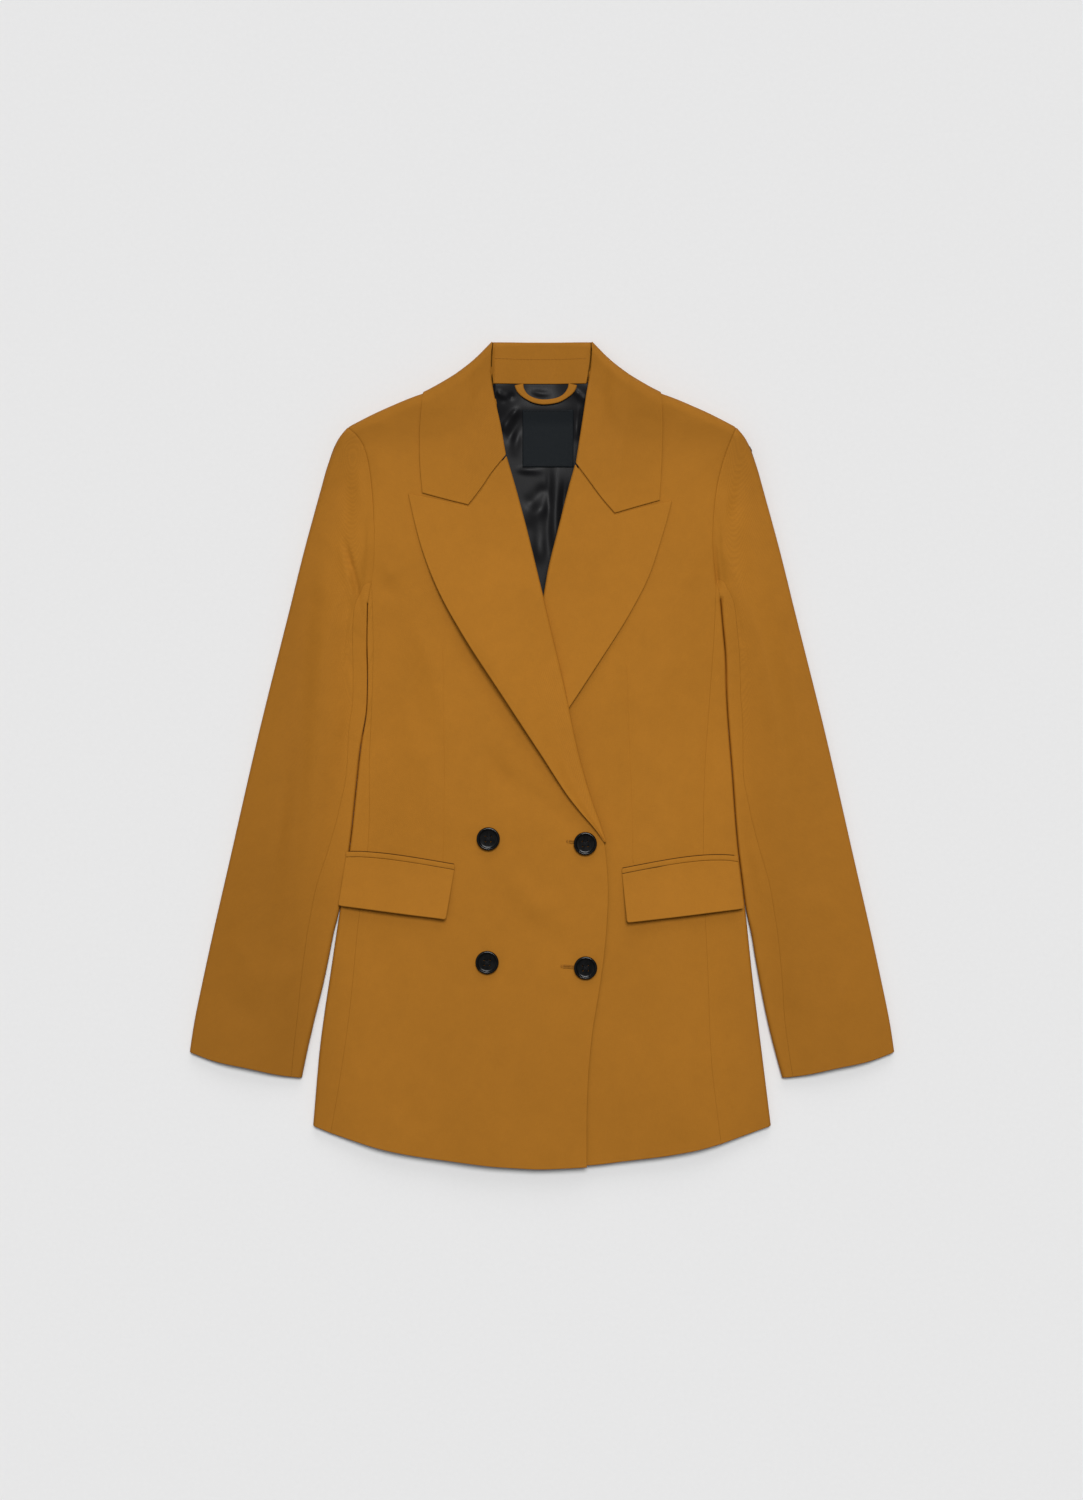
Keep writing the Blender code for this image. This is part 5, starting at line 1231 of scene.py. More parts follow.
def collar_fold_radius(points, sides):
    """Half the thickness of the collar's top fold: slim behind the neck, full beside it."""
    x = points[..., 0]
    plateau = np.where(x < 0, *(side.form(points, False)[0] for side in sides))
    full = (plateau + STACK + COLLAR_EASE) / 2
    share = sum(part * ramp(np.abs(x), ends) for ends, part in NECK_ROLL_RAMPS)
    return NECK_ROLL_RADIUS + (full - NECK_ROLL_RADIUS) * share


def behind_neck(x):
    """Places on the collar's top fold."""
    return np.stack((x, np.full(x.shape, COLLAR_TOP[-1][1])), axis=-1)


def stand_grid(sides):
    """Stand inside the back of the neck, turned over the collar's top fold."""
    top_y = COLLAR_TOP[-1][1]
    turn = NECK_ROLL_RADIUS * (1 - np.cos(np.radians(TURN_ANGLES)))
    down = np.concatenate((turn, np.linspace(STAND_FLAT, top_y - STAND_BOTTOM, 5)))
    y = top_y - down
    ends = []
    for side in sides:
        inner = Edge(LEAF_INNER[side.name]).points
        ends.append(np.interp(y, inner[:, 1], inner[:, 0]) - side.sign * STAND_GAP)
    across = np.array(COLLAR_BACK_ROWS)[:, None]
    x = ends[0][None] + across * (ends[1] - ends[0])[None]
    flat = np.stack((x, np.broadcast_to(y[None], x.shape)), axis=-1)
    return flat, np.broadcast_to(down, x.shape)


def lining_height(points, sides):
    """Outer face of the lining on the back: it runs up under the stand's lower edge."""
    x, y = points[..., 0], points[..., 1]
    own = NECK_LIFT * ramp(y, NECK_LIFT_Y) + BODY_WALL + LAYER + LINING_EASE + LINING_WALL
    under_stand = 2.0 * collar_fold_radius(behind_neck(x), sides) - TRIM_SHELL - LAYER
    return own + (under_stand - own) * ramp(y, UNDER_STAND_Y)**2


def make_body(side, material, inside):
    flat, faces = front_grid(side)
    shoulder_row = flat[:, 2]
    for name, (grid, sides) in (("front_", (flat, faces)),
                                ("side_panel_", side_panel_grid(side)),
                                ("back_", back_grid(side, shoulder_row))):
        fine, fine_faces, _ = denser(grid, sides)
        cloth(name + side.name, side.surface(fine, fine_faces), fine_faces, BODY_SHELL,
              (material, inside), sewn=SEWN_FRONT if name == "front_" else SEWN_ROUND)


def make_sleeve(side, material, inside):
    for name, (grid, sides) in zip(("sleeve_top_", "sleeve_under_"), sleeve_grids(side)):
        fine, fine_faces, _ = denser(grid, sides)
        cloth(name + side.name, side.drawn_in(side.surface(fine, fine_faces, True)), fine_faces,
              BODY_SHELL, (material, inside), sewn=SEWN_ROUND)


def make_lapel(side, material):
    flat, faces, channels = lapel_grid(side, body_skins(side))
    flat, faces, (reach, above, radius, slim) = denser(flat, faces, channels, TRIM_FINER,
                                                       ALL_EDGES[1:], LAPEL_CORNER)
    start = np.minimum(LAPEL_STAYS, LAPEL_STAYS_MOST * reach[-1:])
    share = smooth_step((reach - start) / np.maximum(reach[-1:] - start, 1.0)) * (faces > 0)
    above = above + look_up(LAPEL_LIFT[side.name], flat[..., 1]) * share
    drop = turn_drop(np.minimum(reach / (ROLL_RADIUS * slim), 1.0), 1.0) * radius
    height = np.where(faces > 0, above - drop, above - 2 * radius + drop)
    lay("lapel_" + side.name, flat, height, TRIM_SHELL, material, faces=faces)


def make_collar(sides, material):
    skins = body_skins(sides[0]) + body_skins(sides[1])
    flat, faces, channels = collar_grid(sides, skins)
    flat, faces, (plateau, rise) = denser(flat, faces, channels, TRIM_FINER,
                                          corner=len(LEAF_COLUMNS))
    silhouette = np.vstack((sides[0].collar_top.points, sides[1].collar_top.points[::-1]))
    away = np.where(faces == 0, 0.0, distance_to(flat, silhouette))
    rolls = [distance_to(flat, Edge(LEAF_INNER[side.name]).points) for side in sides]
    roll = turn_drop(np.where(flat[..., 0] < 0, *rolls), LEAF_ROLL_RADIUS)
    roll = roll * ramp(flat[..., 1], LEAF_ROLL_Y)
    fall = turn_drop(away, collar_fold_radius(flat, sides))
    laid = plateau + STACK + COLLAR_EASE + rise * ramp(away, LEAF_LAID)
    lay("collar", flat, np.where(faces > 0, laid - fall - roll, fall), TRIM_SHELL, material,
        faces=faces)


def make_stand(sides, material):
    flat, down = stand_grid(sides)
    edges = ALL_EDGES[:2] + ALL_EDGES[3:]
    flat, _, (down,) = denser(flat, np.ones(flat.shape[:2]), (down,), TRIM_FINER, edges)
    radius = collar_fold_radius(behind_neck(flat[..., 0]), sides)
    height = 2 * radius - turn_drop(down, radius)
    height[:, 0] = radius[:, 0] + SEAM
    lay("collar_stand", flat, height, TRIM_SHELL, material, edges=edges)


def make_lining(sides, material):
    """Satin across the inside of the back, with soft folds."""
    rows = np.array(LINING_EDGE)
    heights = np.linspace(rows[0, 0], rows[-1, 0], LINING_LINES[1])
    half = np.interp(-heights, -rows[:, 0], rows[:, 1])
    x = LINING_CENTRE + np.linspace(-1.0, 1.0, LINING_LINES[0])[:, None] * half
    flat = np.stack((x, np.broadcast_to(heights[None], x.shape)), axis=-1)
    height = lining_height(flat, sides) + depth_of_creases() * folds_at(flat, LINING_FOLDS)
    lay("back_lining", flat, height, LINING_SHELL, material)


def make_loop(sides, material):
    shares = even(LOOP_LINES)
    centre = Edge(LOOP_PATH).share(shares)
    aside = quarter_turn(unit(np.gradient(centre, axis=0)))
    across = np.linspace(-0.5, 0.5, 9)[:, None]
    from_middle = np.abs(2.0 * shares - 1.0)
    width = LOOP_WIDTH + (LOOP_END_WIDTH - LOOP_WIDTH) * ramp(from_middle, (0.5, 1.0))
    flat = centre[None] + across[..., None] * (width[:, None] * aside)[None]
    rise = LOOP_RISE * np.sin(np.pi * shares)**LOOP_ARCH
    height = (lining_height(centre, sides) + LAYER + LOOP_WALL + rise
              - LOOP_CROWN * (2.0 * across)**4)
    lay("hanger_loop", flat, height, LOOP_SHELL, material)


def make_label(sides, material):
    x0, y0, x1, y1 = LABEL_BOX
    flat = np.stack(np.meshgrid(np.linspace(x0, x1, LABEL_LINES[0]),
                                np.linspace(y1, y0, LABEL_LINES[1]), indexing="ij"), axis=-1)
    lay("label", flat, lining_height(flat, sides) + LAYER + LINING_WALL, LABEL_SHELL, material)


def pocket_bow(side, share):
    """How the pocket's top edge bows up on its way from its outer to its inner end."""
    return POCKET_BOW[side.name] * np.sin(math.pi * share**0.75) * np.array((0.0, 1.0))


def make_pocket(side, material):
    """The jet above, puffed by its seam, and the flap that falls from it."""
    outer_top, inner_top, outer_end, inner_end = map(np.array, POCKET[side.name])
    skins = body_skins(side)
    up = np.array((0.0, WELT_HEIGHT + SEAM))
    shapes = (("welt_", outer_top + up, inner_top + up, outer_top + (0.0, SEAM),
               inner_top + (0.0, SEAM), 2, WELT_WALL, 0.0, JET_SHELL),
              ("flap_", outer_top, inner_top, outer_end, inner_end, 6, FLAP_WALL,
               FLAP_LIFT, TRIM_SHELL))
    for name, top_out, top_in, end_out, end_in, row_count, wall, rise, shell in shapes:
        u, v = even(POCKET_COLUMNS)[:, None, None], even(row_count)[None, :, None]
        flat = patch(u, v, top_out, top_in, end_out, end_in)
        flat = flat + pocket_bow(side, u) * (1 - v if name == "flap_" else 1.0)
        plateau = side.form(flat, False)[0]
        highest = resting(skins, flat, POCKET_REST, plateau)[0]
        if name == "flap_":
            rise = rise + np.interp(u[..., 0], (0.0, 1.0), FLAP_STAND_OFF)
        height = np.maximum(plateau, highest) + LAYER + wall + rise * v[..., 0]**1.5
        flat, faces, (height,) = denser(flat, np.ones(flat.shape[:2]), (height,))
        if name == "flap_":
            flat = round_corners(flat)
        else:
            height = height + JET_PUFF * np.sin(math.pi * even(flat.shape[1] - 1))
        lay(name + side.name, flat, height, shell, material, faces=faces)


def make_pocket_seam_shadows(side, material):
    """The two seams of the jet: a fine dark cord in each, a painted shadow for the seam's groove.
    """
    outer_top, inner_top = (np.array(corner) for corner in POCKET[side.name][:2])
    share = np.linspace(*SHADOW_CORD_ENDS, 60)[:, None]
    line = (1 - share) * outer_top + share * inner_top + pocket_bow(side, share)
    shadow_cords = []
    for up, (radius, rise) in zip((SEAM / 2, WELT_HEIGHT + SEAM + 0.15), SHADOW_CORDS):
        place = line + (0.0, up)
        below = surface_heights(place, [part + side.name for part in ("front_", "side_panel_")])
        shadow_cords.append(rod(laid_face(place, below + rise), radius, sides=8))
    return joined("pocket_seams_" + side.name, shadow_cords, material)


def round_corners(flat, radius=CORNER_RADIUS):
    """Pull the flap's two lower corners in to a small curve."""
    run = inside_edges(flat, ALL_EDGES[3:])
    for edge in ALL_EDGES[:2]:
        side_run = inside_edges(flat, (edge,))
        inward = flat[len(flat) // 2, :][None] - flat
        inward = inward / np.maximum(np.linalg.norm(inward, axis=-1, keepdims=True), 1e-9)
        low = np.clip(1.0 - run / radius, 0.0, 1.0)
        near = np.clip(1.0 - side_run / (2.5 * radius), 0.0, 1.0)
        pull = radius * (1.0 - np.sqrt(np.maximum(1.0 - low**2, 0.0))) * 0.9
        flat = flat + inward * (pull * near)[..., None]
    return flat


# ---- buttons and sewing ----------------------------------------------------------

def face_outward(shape):
    bmesh.ops.recalc_face_normals(shape, faces=shape.faces[:])
    if shape.calc_volume(signed=True) < 0.0:
        bmesh.ops.reverse_faces(shape, faces=shape.faces[:])


def rod(path, radius, sides=8):
    """A closed round rod along a path, drawn to a point at both ends."""
    path = np.asarray(path, float)
    ahead = unit(np.gradient(path, axis=0))
    upright = np.where(np.abs(ahead[:, 2:3]) > 0.9, ((1.0, 0.0, 0.0),), ((0.0, 0.0, 1.0),))
    aside = unit(np.cross(ahead, upright))
    above = np.cross(aside, ahead)
    path = np.concatenate((path[:1], path, path[-1:]))
    aside, above = (np.concatenate((way[:1], way, way[-1:])) for way in (aside, above))
    radii = np.full(len(path), radius)
    radii[[0, -1]] = 0.0
    shape = bmesh.new()
    bmesh.ops.create_grid(shape, x_segments=sides, y_segments=len(path) - 1, size=1.0)
    for vertex in shape.verts:
        turn = math.pi * (vertex.co.x + 1.0)
        row = round((vertex.co.y + 1.0) / 2.0 * (len(path) - 1))
        vertex.co = (path[row] + radii[row] * (math.cos(turn) * aside[row]
                                               + math.sin(turn) * above[row])) * MM
    bmesh.ops.remove_doubles(shape, verts=shape.verts[:], dist=1e-7)
    face_outward(shape)
    return shape


def joined(name, shapes, material):
    """One piece from several closed shapes."""
    whole = bmesh.new()
    for shape in shapes:
        part = mesh_of("part", shape)
        whole.from_mesh(part)
        bpy.data.meshes.remove(part)
    mesh = mesh_of(name, whole)
    mesh.shade_smooth()
    mesh.materials.append(material)
    piece = placed(name, mesh)
    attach(piece, "root")
    return piece


def surface_heights(points, names):
    """Height of the topmost of some pieces under each point."""
    skins = skins_of(*names)
    heights = []
    for x, y in points:
        heights.append(top_at(skins, x, y))
        if heights[-1] is None:
            raise RuntimeError(f"no cloth under x {x:.1f}, y {y:.1f} mm")
    return np.array(heights)


def stitch(start, end, height_start, height_end, bulge=0.28):
    """One stitch: it comes up, lies on the cloth and goes down again."""
    share, lift = np.array(STITCH_SHAPE).T
    flat = start + share[:, None] * (end - start)
    z = height_start + share * (height_end - height_start) + lift * bulge
    return rod(laid_face(flat, z), THREAD / 2.0, sides=6)


def stitch_row(name, line, names, material):
    """A row of stitches along a line over some pieces."""
    edge = Edge(line)
    count = int(edge.length / STITCH_PITCH)
    starts = np.arange(count) * STITCH_PITCH + STITCH_FIRST
    first, last = edge.at(starts), edge.at(starts + STITCH_LENGTH)
    heights = surface_heights(np.concatenate((first, last)), names).reshape(2, -1)
    return joined(name, [stitch(*ends) for ends in zip(first, last, *heights)], material)


def make_button(name, place, material, thread):
    """A polished button with a raised rim, four holes and its sewing."""
    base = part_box(name)[0][2] / MM
    shape = bmesh.new()
    ring = [shape.verts.new((x * MM, 0.0, z * MM)) for x, z in BUTTON_PROFILE]
    edges = [shape.edges.new(pair) for pair in zip(ring, ring[1:])]
    bmesh.ops.spin(shape, geom=ring + edges, axis=(0.0, 0.0, 1.0), cent=(0.0, 0.0, 0.0),
                   angle=math.tau, steps=64, use_merge=True)
    bmesh.ops.remove_doubles(shape, verts=shape.verts[:], dist=1e-6)
    face_outward(shape)
    spot = Vector((place[0] * MM, place[1] * MM, base * MM))
    bmesh.ops.translate(shape, verts=shape.verts[:], vec=spot)
    piece = joined(name + "_turned", [shape], material)

    drills = []
    for across, along in ((-1, -1), (-1, 1), (1, -1), (1, 1)):
        drill = bmesh.new()
        bmesh.ops.create_cone(drill, cap_ends=True, segments=20, depth=DRILL_LENGTH * MM,
                              radius1=BUTTON_HOLE_RADIUS * MM, radius2=BUTTON_HOLE_RADIUS * MM)
        away = Vector((across, along, 0.0)) * (BUTTON_HOLES * MM)
        bmesh.ops.translate(drill, verts=drill.verts[:], vec=spot + away)
        drills.append(drill)
    cutter = joined(name + "_drills", drills, material)
    cut = piece.modifiers.new("holes", "BOOLEAN")
    cut.operation, cut.object, cut.solver = "DIFFERENCE", cutter, "EXACT"
    evaluated = piece.evaluated_get(bpy.context.evaluated_depsgraph_get())
    whole, piece.data = piece.data, bpy.data.meshes.new_from_object(evaluated)
    piece.modifiers.clear()
    bpy.data.meshes.remove(whole)
    bpy.data.objects.remove(cutter, do_unlink=True)
    piece.data.shade_smooth()
    piece.data.set_sharp_from_angle(angle=math.radians(35.0))
    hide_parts(name)

    top = base + BUTTON_PROFILE[-1][1]
    share, deep, lifted = np.array(STRAND_SHAPE).T
    strands = []
    for corner, lift in zip(np.array(((-1.0, -1.0), (-1.0, 1.0))), STRAND_LIFTS):
        for offset in STRANDS:
            centre = place + quarter_turn(unit(-corner)) * offset
            flat = centre + (1.0 - 2.0 * share)[:, None] * corner * BUTTON_HOLES
            strands.append(rod(laid_face(flat, top + deep + lift * lifted), STRAND_RADIUS))
    joined(name + "_thread", strands, thread)


def make_buttonhole(name, ends, material):
    """Purl stitches round a slit, so close that they read as one cord."""
    eye, inner = np.array(ends)
    way = unit(inner - eye)
    aside = quarter_turn(way)
    count = int(np.linalg.norm(inner - eye) / PURL_PITCH)
    places = eye + (np.arange(count) * PURL_PITCH)[:, None] * way
    shapes = []
    for side in (-1.0, 1.0):
        first, last = (places + aside * side * off for off in PURL_REACH)
        heights = surface_heights(np.concatenate((first, last)), ("front_right",)).reshape(2, -1)
        for a, b, low, high in zip(first, last, *heights):
            shapes.append(stitch(a, b, low + PURL_LIP, high, PURL_BULGE))
    place = inner + way * PURL_REACH[0]
    for step in range(PURL_END):
        turn = -math.pi / 2 + math.pi * (step + 0.5) / PURL_END
        out = way * math.cos(turn) + aside * math.sin(turn)
        heights = surface_heights((place, place + out * PURL_FAN[1]), ("front_right",))
        shapes.append(stitch(place + out * PURL_FAN[0], place + out * PURL_FAN[2], *heights,
                             PURL_BULGE))
    return joined(name, shapes, material)


def make_dart(side, material):
    """The dart's sewn fold: a fine ridge down the front."""
    share = even(90)
    centre = Edge(DARTS[side.name]).share(share)
    heights = surface_heights(centre, ("front_" + side.name,)) - DART_RADIUS
    heights = heights + DART_RISE * ramp(share, (0.0, 0.1))
    return joined("dart_" + side.name, [rod(laid_face(centre, heights), DART_RADIUS, sides=10)],
                  material)


# ---- materials -------------------------------------------------------------------

class Nodes:
    """Adds and links shader nodes with few words."""

    def __init__(self, name):
        self.material = bpy.data.materials.new(name)
        self.material.use_nodes = True
        self.tree = self.material.node_tree
        self.shader = self.tree.nodes["Principled BSDF"]

    def put(self, socket, value):
        if isinstance(value, bpy.types.NodeSocket):
            self.tree.links.new(value, socket)
        else:
            socket.default_value = value

    def node(self, kind, **values):
        """A new node with its inputs set or linked."""
        node = self.tree.nodes.new("ShaderNode" + kind)
        self.fill_in(node, values)
        return node

    def fill_in(self, node, values):
        for key, value in values.items():
            self.put(node.inputs[key.replace("_", " ")], value)

    def math(self, operation, first, second=0.0):
        node = self.node("Math")
        node.operation = operation
        self.put(node.inputs[0], first)
        self.put(node.inputs[1], second)
        return node.outputs[0]

    def product(self, first, second):
        return self.math("MULTIPLY", first, second)

    def total(self, *parts):
        """The sum of some values, each with its weight."""
        whole = None
        for value, weight in parts:
            part = value if weight == 1.0 else self.product(value, weight)
            whole = part if whole is None else self.math("ADD", whole, part)
        return whole

    def waves(self, value, length):
        return self.math("SINE", self.product(value, math.tau / length))

    def split(self, vector):
        """The X, Y and Z of a vector."""
        node = self.node("SeparateXYZ")
        self.put(node.inputs[0], vector)
        return node.outputs

    def stretched(self, coordinates, scale):
        return self.node("Mapping", Vector=coordinates, Scale=scale).outputs[0]

    def noise(self, coordinates, scale, detail=3.0, roughness=0.5):
        return self.node("TexNoise", Vector=coordinates, Scale=scale, Detail=detail,
                         Roughness=roughness).outputs["Fac"]

    def mix(self, share, first, second):
        node = self.node("Mix", Factor=share)
        node.data_type = "RGBA"
        sockets = [item for item in node.inputs if item.type == "RGBA"]
        self.put(sockets[0], first)
        self.put(sockets[1], second)
        return [item for item in node.outputs if item.type == "RGBA"][0]

    def spread(self, value, low, high, to_low, to_high):
        return self.node("MapRange", Value=value, From_Min=low, From_Max=high, To_Min=to_low,
                         To_Max=to_high).outputs[0]

    def bump(self, height, strength, distance):
        node = self.node("Bump", Height=height, Strength=strength, Distance=distance)
        self.put(self.shader.inputs["Normal"], node.outputs["Normal"])

    def grain(self):
        node = self.node("UVMap")
        node.uv_map = "Grain"
        return node.outputs["UV"]

    def place(self):
        return self.node("TexCoord").outputs["Object"]

    def set(self, **values):
        self.fill_in(self.shader, values)


def shade(colour, factor):
    return tuple(min(channel * factor, 1.0) for channel in colour) + (1.0,)


def suiting(settings):
    """Fine twill suiting: slanted ribs of fine yarn, soft uneven tone, and painted shade by place.
    """
    nodes = Nodes("twill_suiting")
    grain = nodes.grain()
    colour = tuple(settings.cloth_colour)
    across, down, _ = nodes.split(grain)
    pitch = settings.weave_pitch
    ribs = nodes.waves(nodes.total((across, 1.0), (down, TWILL_SLANT)), pitch)
    yarns = nodes.waves(down, TWILL_SLANT * pitch)
    weft = nodes.noise(nodes.stretched(grain, (160.0, 2600.0, 1.0)), 1.0, 2.0)
    warp = nodes.noise(nodes.stretched(grain, (2600.0, 130.0, 1.0)), 1.0, 2.0)
    cloud = nodes.noise(nodes.place(), 9.0, 3.0, 0.55)
    mottle = nodes.noise(nodes.place(), 70.0, 4.0, 0.6)
    thread = nodes.total((weft, 0.5), (warp, 0.5))
    tone = nodes.total((thread, 0.55), (cloud, 0.25), (mottle, 0.20))
    share = nodes.spread(tone, 0.38, 0.62, 0.0, 1.0)
    base = nodes.mix(share, shade(colour, 0.93), shade(colour, 1.07))
    rib_share = nodes.spread(ribs, -1.0, 1.0, 0.0, 0.16)
    base = nodes.mix(rib_share, base, shade(colour, 0.62))
    # painted shade: the colour darkens towards the hem, on the arms and at the neck, in place of
    # light that falls off
    x, y, _ = nodes.split(nodes.place())
    place = {"x": x, "y": y, "off_centre": nodes.math("ABSOLUTE", x)}
    painted_shade = 1.0
    for measure, *ends in PAINTED_SHADE_BY_PLACE:
        painted_shade = nodes.product(painted_shade, nodes.spread(place[measure], *ends))
    painted_shade_scale = nodes.node("VectorMath")
    painted_shade_scale.operation = "SCALE"
    nodes.put(painted_shade_scale.inputs[0], base)
    nodes.put(painted_shade_scale.inputs["Scale"], painted_shade)
    base = painted_shade_scale.outputs[0]
    height = nodes.total((ribs, 0.30), (yarns, 0.12), (thread, 0.9))
    nodes.bump(height, 0.55, 0.00022)
    nodes.set(Base_Color=base, Roughness=nodes.spread(thread, 0.3, 0.7, 0.62, 0.80),
              Specular_IOR_Level=0.06, Sheen_Weight=0.03, Sheen_Roughness=0.45,
              Sheen_Tint=shade(colour, 2.2))
    return nodes.material


def satin(settings):
    """Smooth lining satin with a soft gleam and fine lengthwise threads."""
    nodes = Nodes("lining_satin_fine")
    grain = nodes.grain()
    colour = tuple(settings.lining_colour)
    threads = nodes.noise(nodes.stretched(grain, (3200.0, 120.0, 1.0)), 1.0, 2.0)
    cloud = nodes.noise(nodes.place(), 22.0, 3.0)
    share = nodes.spread(nodes.total((threads, 0.4), (cloud, 0.6)), 0.35, 0.65, 0.0, 1.0)
    base = nodes.mix(share, shade(colour, 0.82), shade(colour, 1.2))
    nodes.bump(nodes.total((threads, 1.0), (cloud, 0.4)), 0.35, 0.0001)
    nodes.set(Base_Color=base, Roughness=nodes.spread(threads, 0.3, 0.7, 0.36, 0.46),
              Specular_IOR_Level=0.11, Sheen_Weight=0.03, Sheen_Roughness=0.3)
    return nodes.material


def woven_label():
    """Dense black ribbon weave, and nothing on it."""
    nodes = Nodes("label_ribbon")
    across, down, _ = nodes.split(nodes.grain())
    weave = nodes.product(nodes.waves(across, 0.0005), nodes.waves(down, 0.0007))
    fuzz = nodes.noise(nodes.place(), 900.0, 2.0)
    base = nodes.mix(nodes.spread(weave, -1.0, 1.0, 0.0, 1.0), (0.0050, 0.0070, 0.0088, 1.0),
                     (0.0090, 0.0120, 0.0145, 1.0))
    nodes.bump(nodes.total((weave, 0.5), (fuzz, 1.0)), 0.4, 0.0001)
    nodes.set(Base_Color=base, Roughness=nodes.spread(fuzz, 0.3, 0.7, 0.55, 0.68),
              Specular_IOR_Level=0.10)
    return nodes.material


def polished_black():
    """Black resin with a faint grain, polished, and dust-fine scratches."""
    nodes = Nodes("button_polished")
    place = nodes.place()
    grain = nodes.noise(nodes.stretched(place, (500.0, 160.0, 400.0)), 1.0, 4.0)
    base = nodes.mix(nodes.spread(grain, 0.4, 0.7, 0.0, 1.0), (0.0016, 0.0017, 0.0019, 1.0),
                     (0.0040, 0.0040, 0.0042, 1.0))
    fine = nodes.noise(place, 2600.0, 2.0)
    nodes.bump(fine, 0.05, 0.00004)
    nodes.set(Base_Color=base, Roughness=nodes.spread(grain, 0.3, 0.8, 0.13, 0.20),
              Specular_IOR_Level=0.20)
    return nodes.material


def twisted_thread(name, colour):
    """Sewing thread: two plies twisted."""
    nodes = Nodes(name)
    wave = nodes.node("TexWave", Vector=nodes.place(), Scale=620.0, Distortion=1.5)
    wave.bands_direction = "DIAGONAL"
    twist = wave.outputs["Fac"]
    base = nodes.mix(twist, shade(colour, 0.72), shade(colour, 1.18))
    nodes.bump(twist, 0.5, 0.00012)
    nodes.set(Base_Color=base, Roughness=nodes.spread(twist, 0.0, 1.0, 0.5, 0.62),
              Specular_IOR_Level=0.08, Sheen_Weight=0.02)
    return nodes.material


def pale_floor():
    nodes = Nodes("floor_paper")
    fine = nodes.noise(nodes.place(), 240.0, 3.0)
    base = nodes.mix(nodes.spread(fine, 0.3, 0.7, 0.0, 1.0), (0.790, 0.790, 0.792, 1.0),
                     (0.802, 0.802, 0.804, 1.0))
    nodes.bump(fine, 0.04, 0.0002)
    nodes.set(Base_Color=base, Roughness=nodes.spread(fine, 0.3, 0.7, 0.86, 0.94),
              Specular_IOR_Level=0.2)
    return nodes.material


def material_of(name, maker, *values):
    return bpy.data.materials.get(name) or maker(*values)


# ---- setting ---------------------------------------------------------------------

def lay_floor():
    shape = bmesh.new()
    bmesh.ops.create_grid(shape, x_segments=8, y_segments=8, size=FLOOR_HALF)
    mesh = mesh_of("floor", shape)
    mesh.materials.append(pale_floor())
    placed("floor", mesh)


def light(settings):
    world = bpy.data.worlds.new("studio")
    world.use_nodes = True
    background = world.node_tree.nodes["Background"]
    background.inputs["Color"].default_value = (1.0, 1.0, 1.0, 1.0)
    background.inputs["Strength"].default_value = settings.fill_light
    bpy.context.scene.world = world
    for name, strength, turn, tilt, spread in LAMPS:
        lamp = bpy.data.lights.new(name, "SUN")
        lamp.energy = strength * settings.key_light
        lamp.angle = math.radians(spread)
        placed(name, lamp).rotation_euler = (math.radians(-tilt), 0.0, math.radians(turn))


def set_camera():
    camera = bpy.data.cameras.new("camera")
    camera.lens = CAMERA_LENS
    camera.sensor_width = 36.0
    camera.clip_end = 30.0
    scene = bpy.context.scene
    scene.camera = placed("camera", camera)
    scene.camera.location = CAMERA_PLACE
    scene.view_settings.view_transform = "Standard"
    scene.view_settings.look = "None"


# ---- add-on ----------------------------------------------------------------------

class BlazerSettings(bpy.types.PropertyGroup):
    """What a maker may change."""

    cloth_colour: bpy.props.FloatVectorProperty(
        name="Cloth", description="Colour of the suiting", subtype="COLOR", size=3,
        min=0.0, max=1.0, default=(0.412, 0.165, 0.0180))
    lining_colour: bpy.props.FloatVectorProperty(
        name="Lining", description="Colour of the lining satin", subtype="COLOR", size=3,
        min=0.0, max=1.0, default=(0.0070, 0.0070, 0.0079))
    weave_pitch: bpy.props.FloatProperty(
        name="Rib pitch", description="Distance between two ribs of the twill", unit="LENGTH",
        default=0.0009, min=0.0003, max=0.005)
    crease_depth: bpy.props.FloatProperty(
        name="Creases", description="Share of the full depth of the small creases",
        subtype="FACTOR", default=1.0, min=0.0, max=2.0)
    key_light: bpy.props.FloatProperty(
        name="Key light", description="Strength of the soft lamps", default=1.0, min=0.0)
    fill_light: bpy.props.FloatProperty(
        name="Fill light", description="Strength of the light from all round", default=0.20,
        min=0.0)


def both_sides():
    return Side("right"), Side("left")


def suiting_now(context):
    return material_of("twill_suiting", suiting, context.scene.blazer)


def satin_now(context):
    return material_of("lining_satin_fine", satin, context.scene.blazer)


def thread_like_cloth(context, name, depth):
    """Thread in the cloth's colour at some share of its brightness."""
    return material_of(name, twisted_thread, name,
                       tuple(depth * part for part in context.scene.blazer.cloth_colour))


def self_thread(context):
    return thread_like_cloth(context, "thread_self", 0.86)


def black_thread():
    return material_of("thread_black", twisted_thread, "thread_black", BLACK_THREAD)


class BLAZER_OT_body(bpy.types.Operator):
    """Make fronts, side panels and backs"""
    bl_idname = "blazer.body"
    bl_label = "Body"

    def execute(self, context):
        for side in both_sides():
            make_body(side, suiting_now(context), satin_now(context))
        return {"FINISHED"}


class BLAZER_OT_sleeves(bpy.types.Operator):
    """Make the top and under sleeves"""
    bl_idname = "blazer.sleeves"
    bl_label = "Sleeves"

    def execute(self, context):
        for side in both_sides():
            make_sleeve(side, suiting_now(context), satin_now(context))
        return {"FINISHED"}


class BLAZER_OT_collar(bpy.types.Operator):
    """Make lapels, collar and stand; needs the body"""
    bl_idname = "blazer.collar"
    bl_label = "Lapels and collar"

    def execute(self, context):
        sides = both_sides()
        for side in sides:
            make_lapel(side, suiting_now(context))
        make_collar(sides, suiting_now(context))
        make_stand(sides, suiting_now(context))
        return {"FINISHED"}


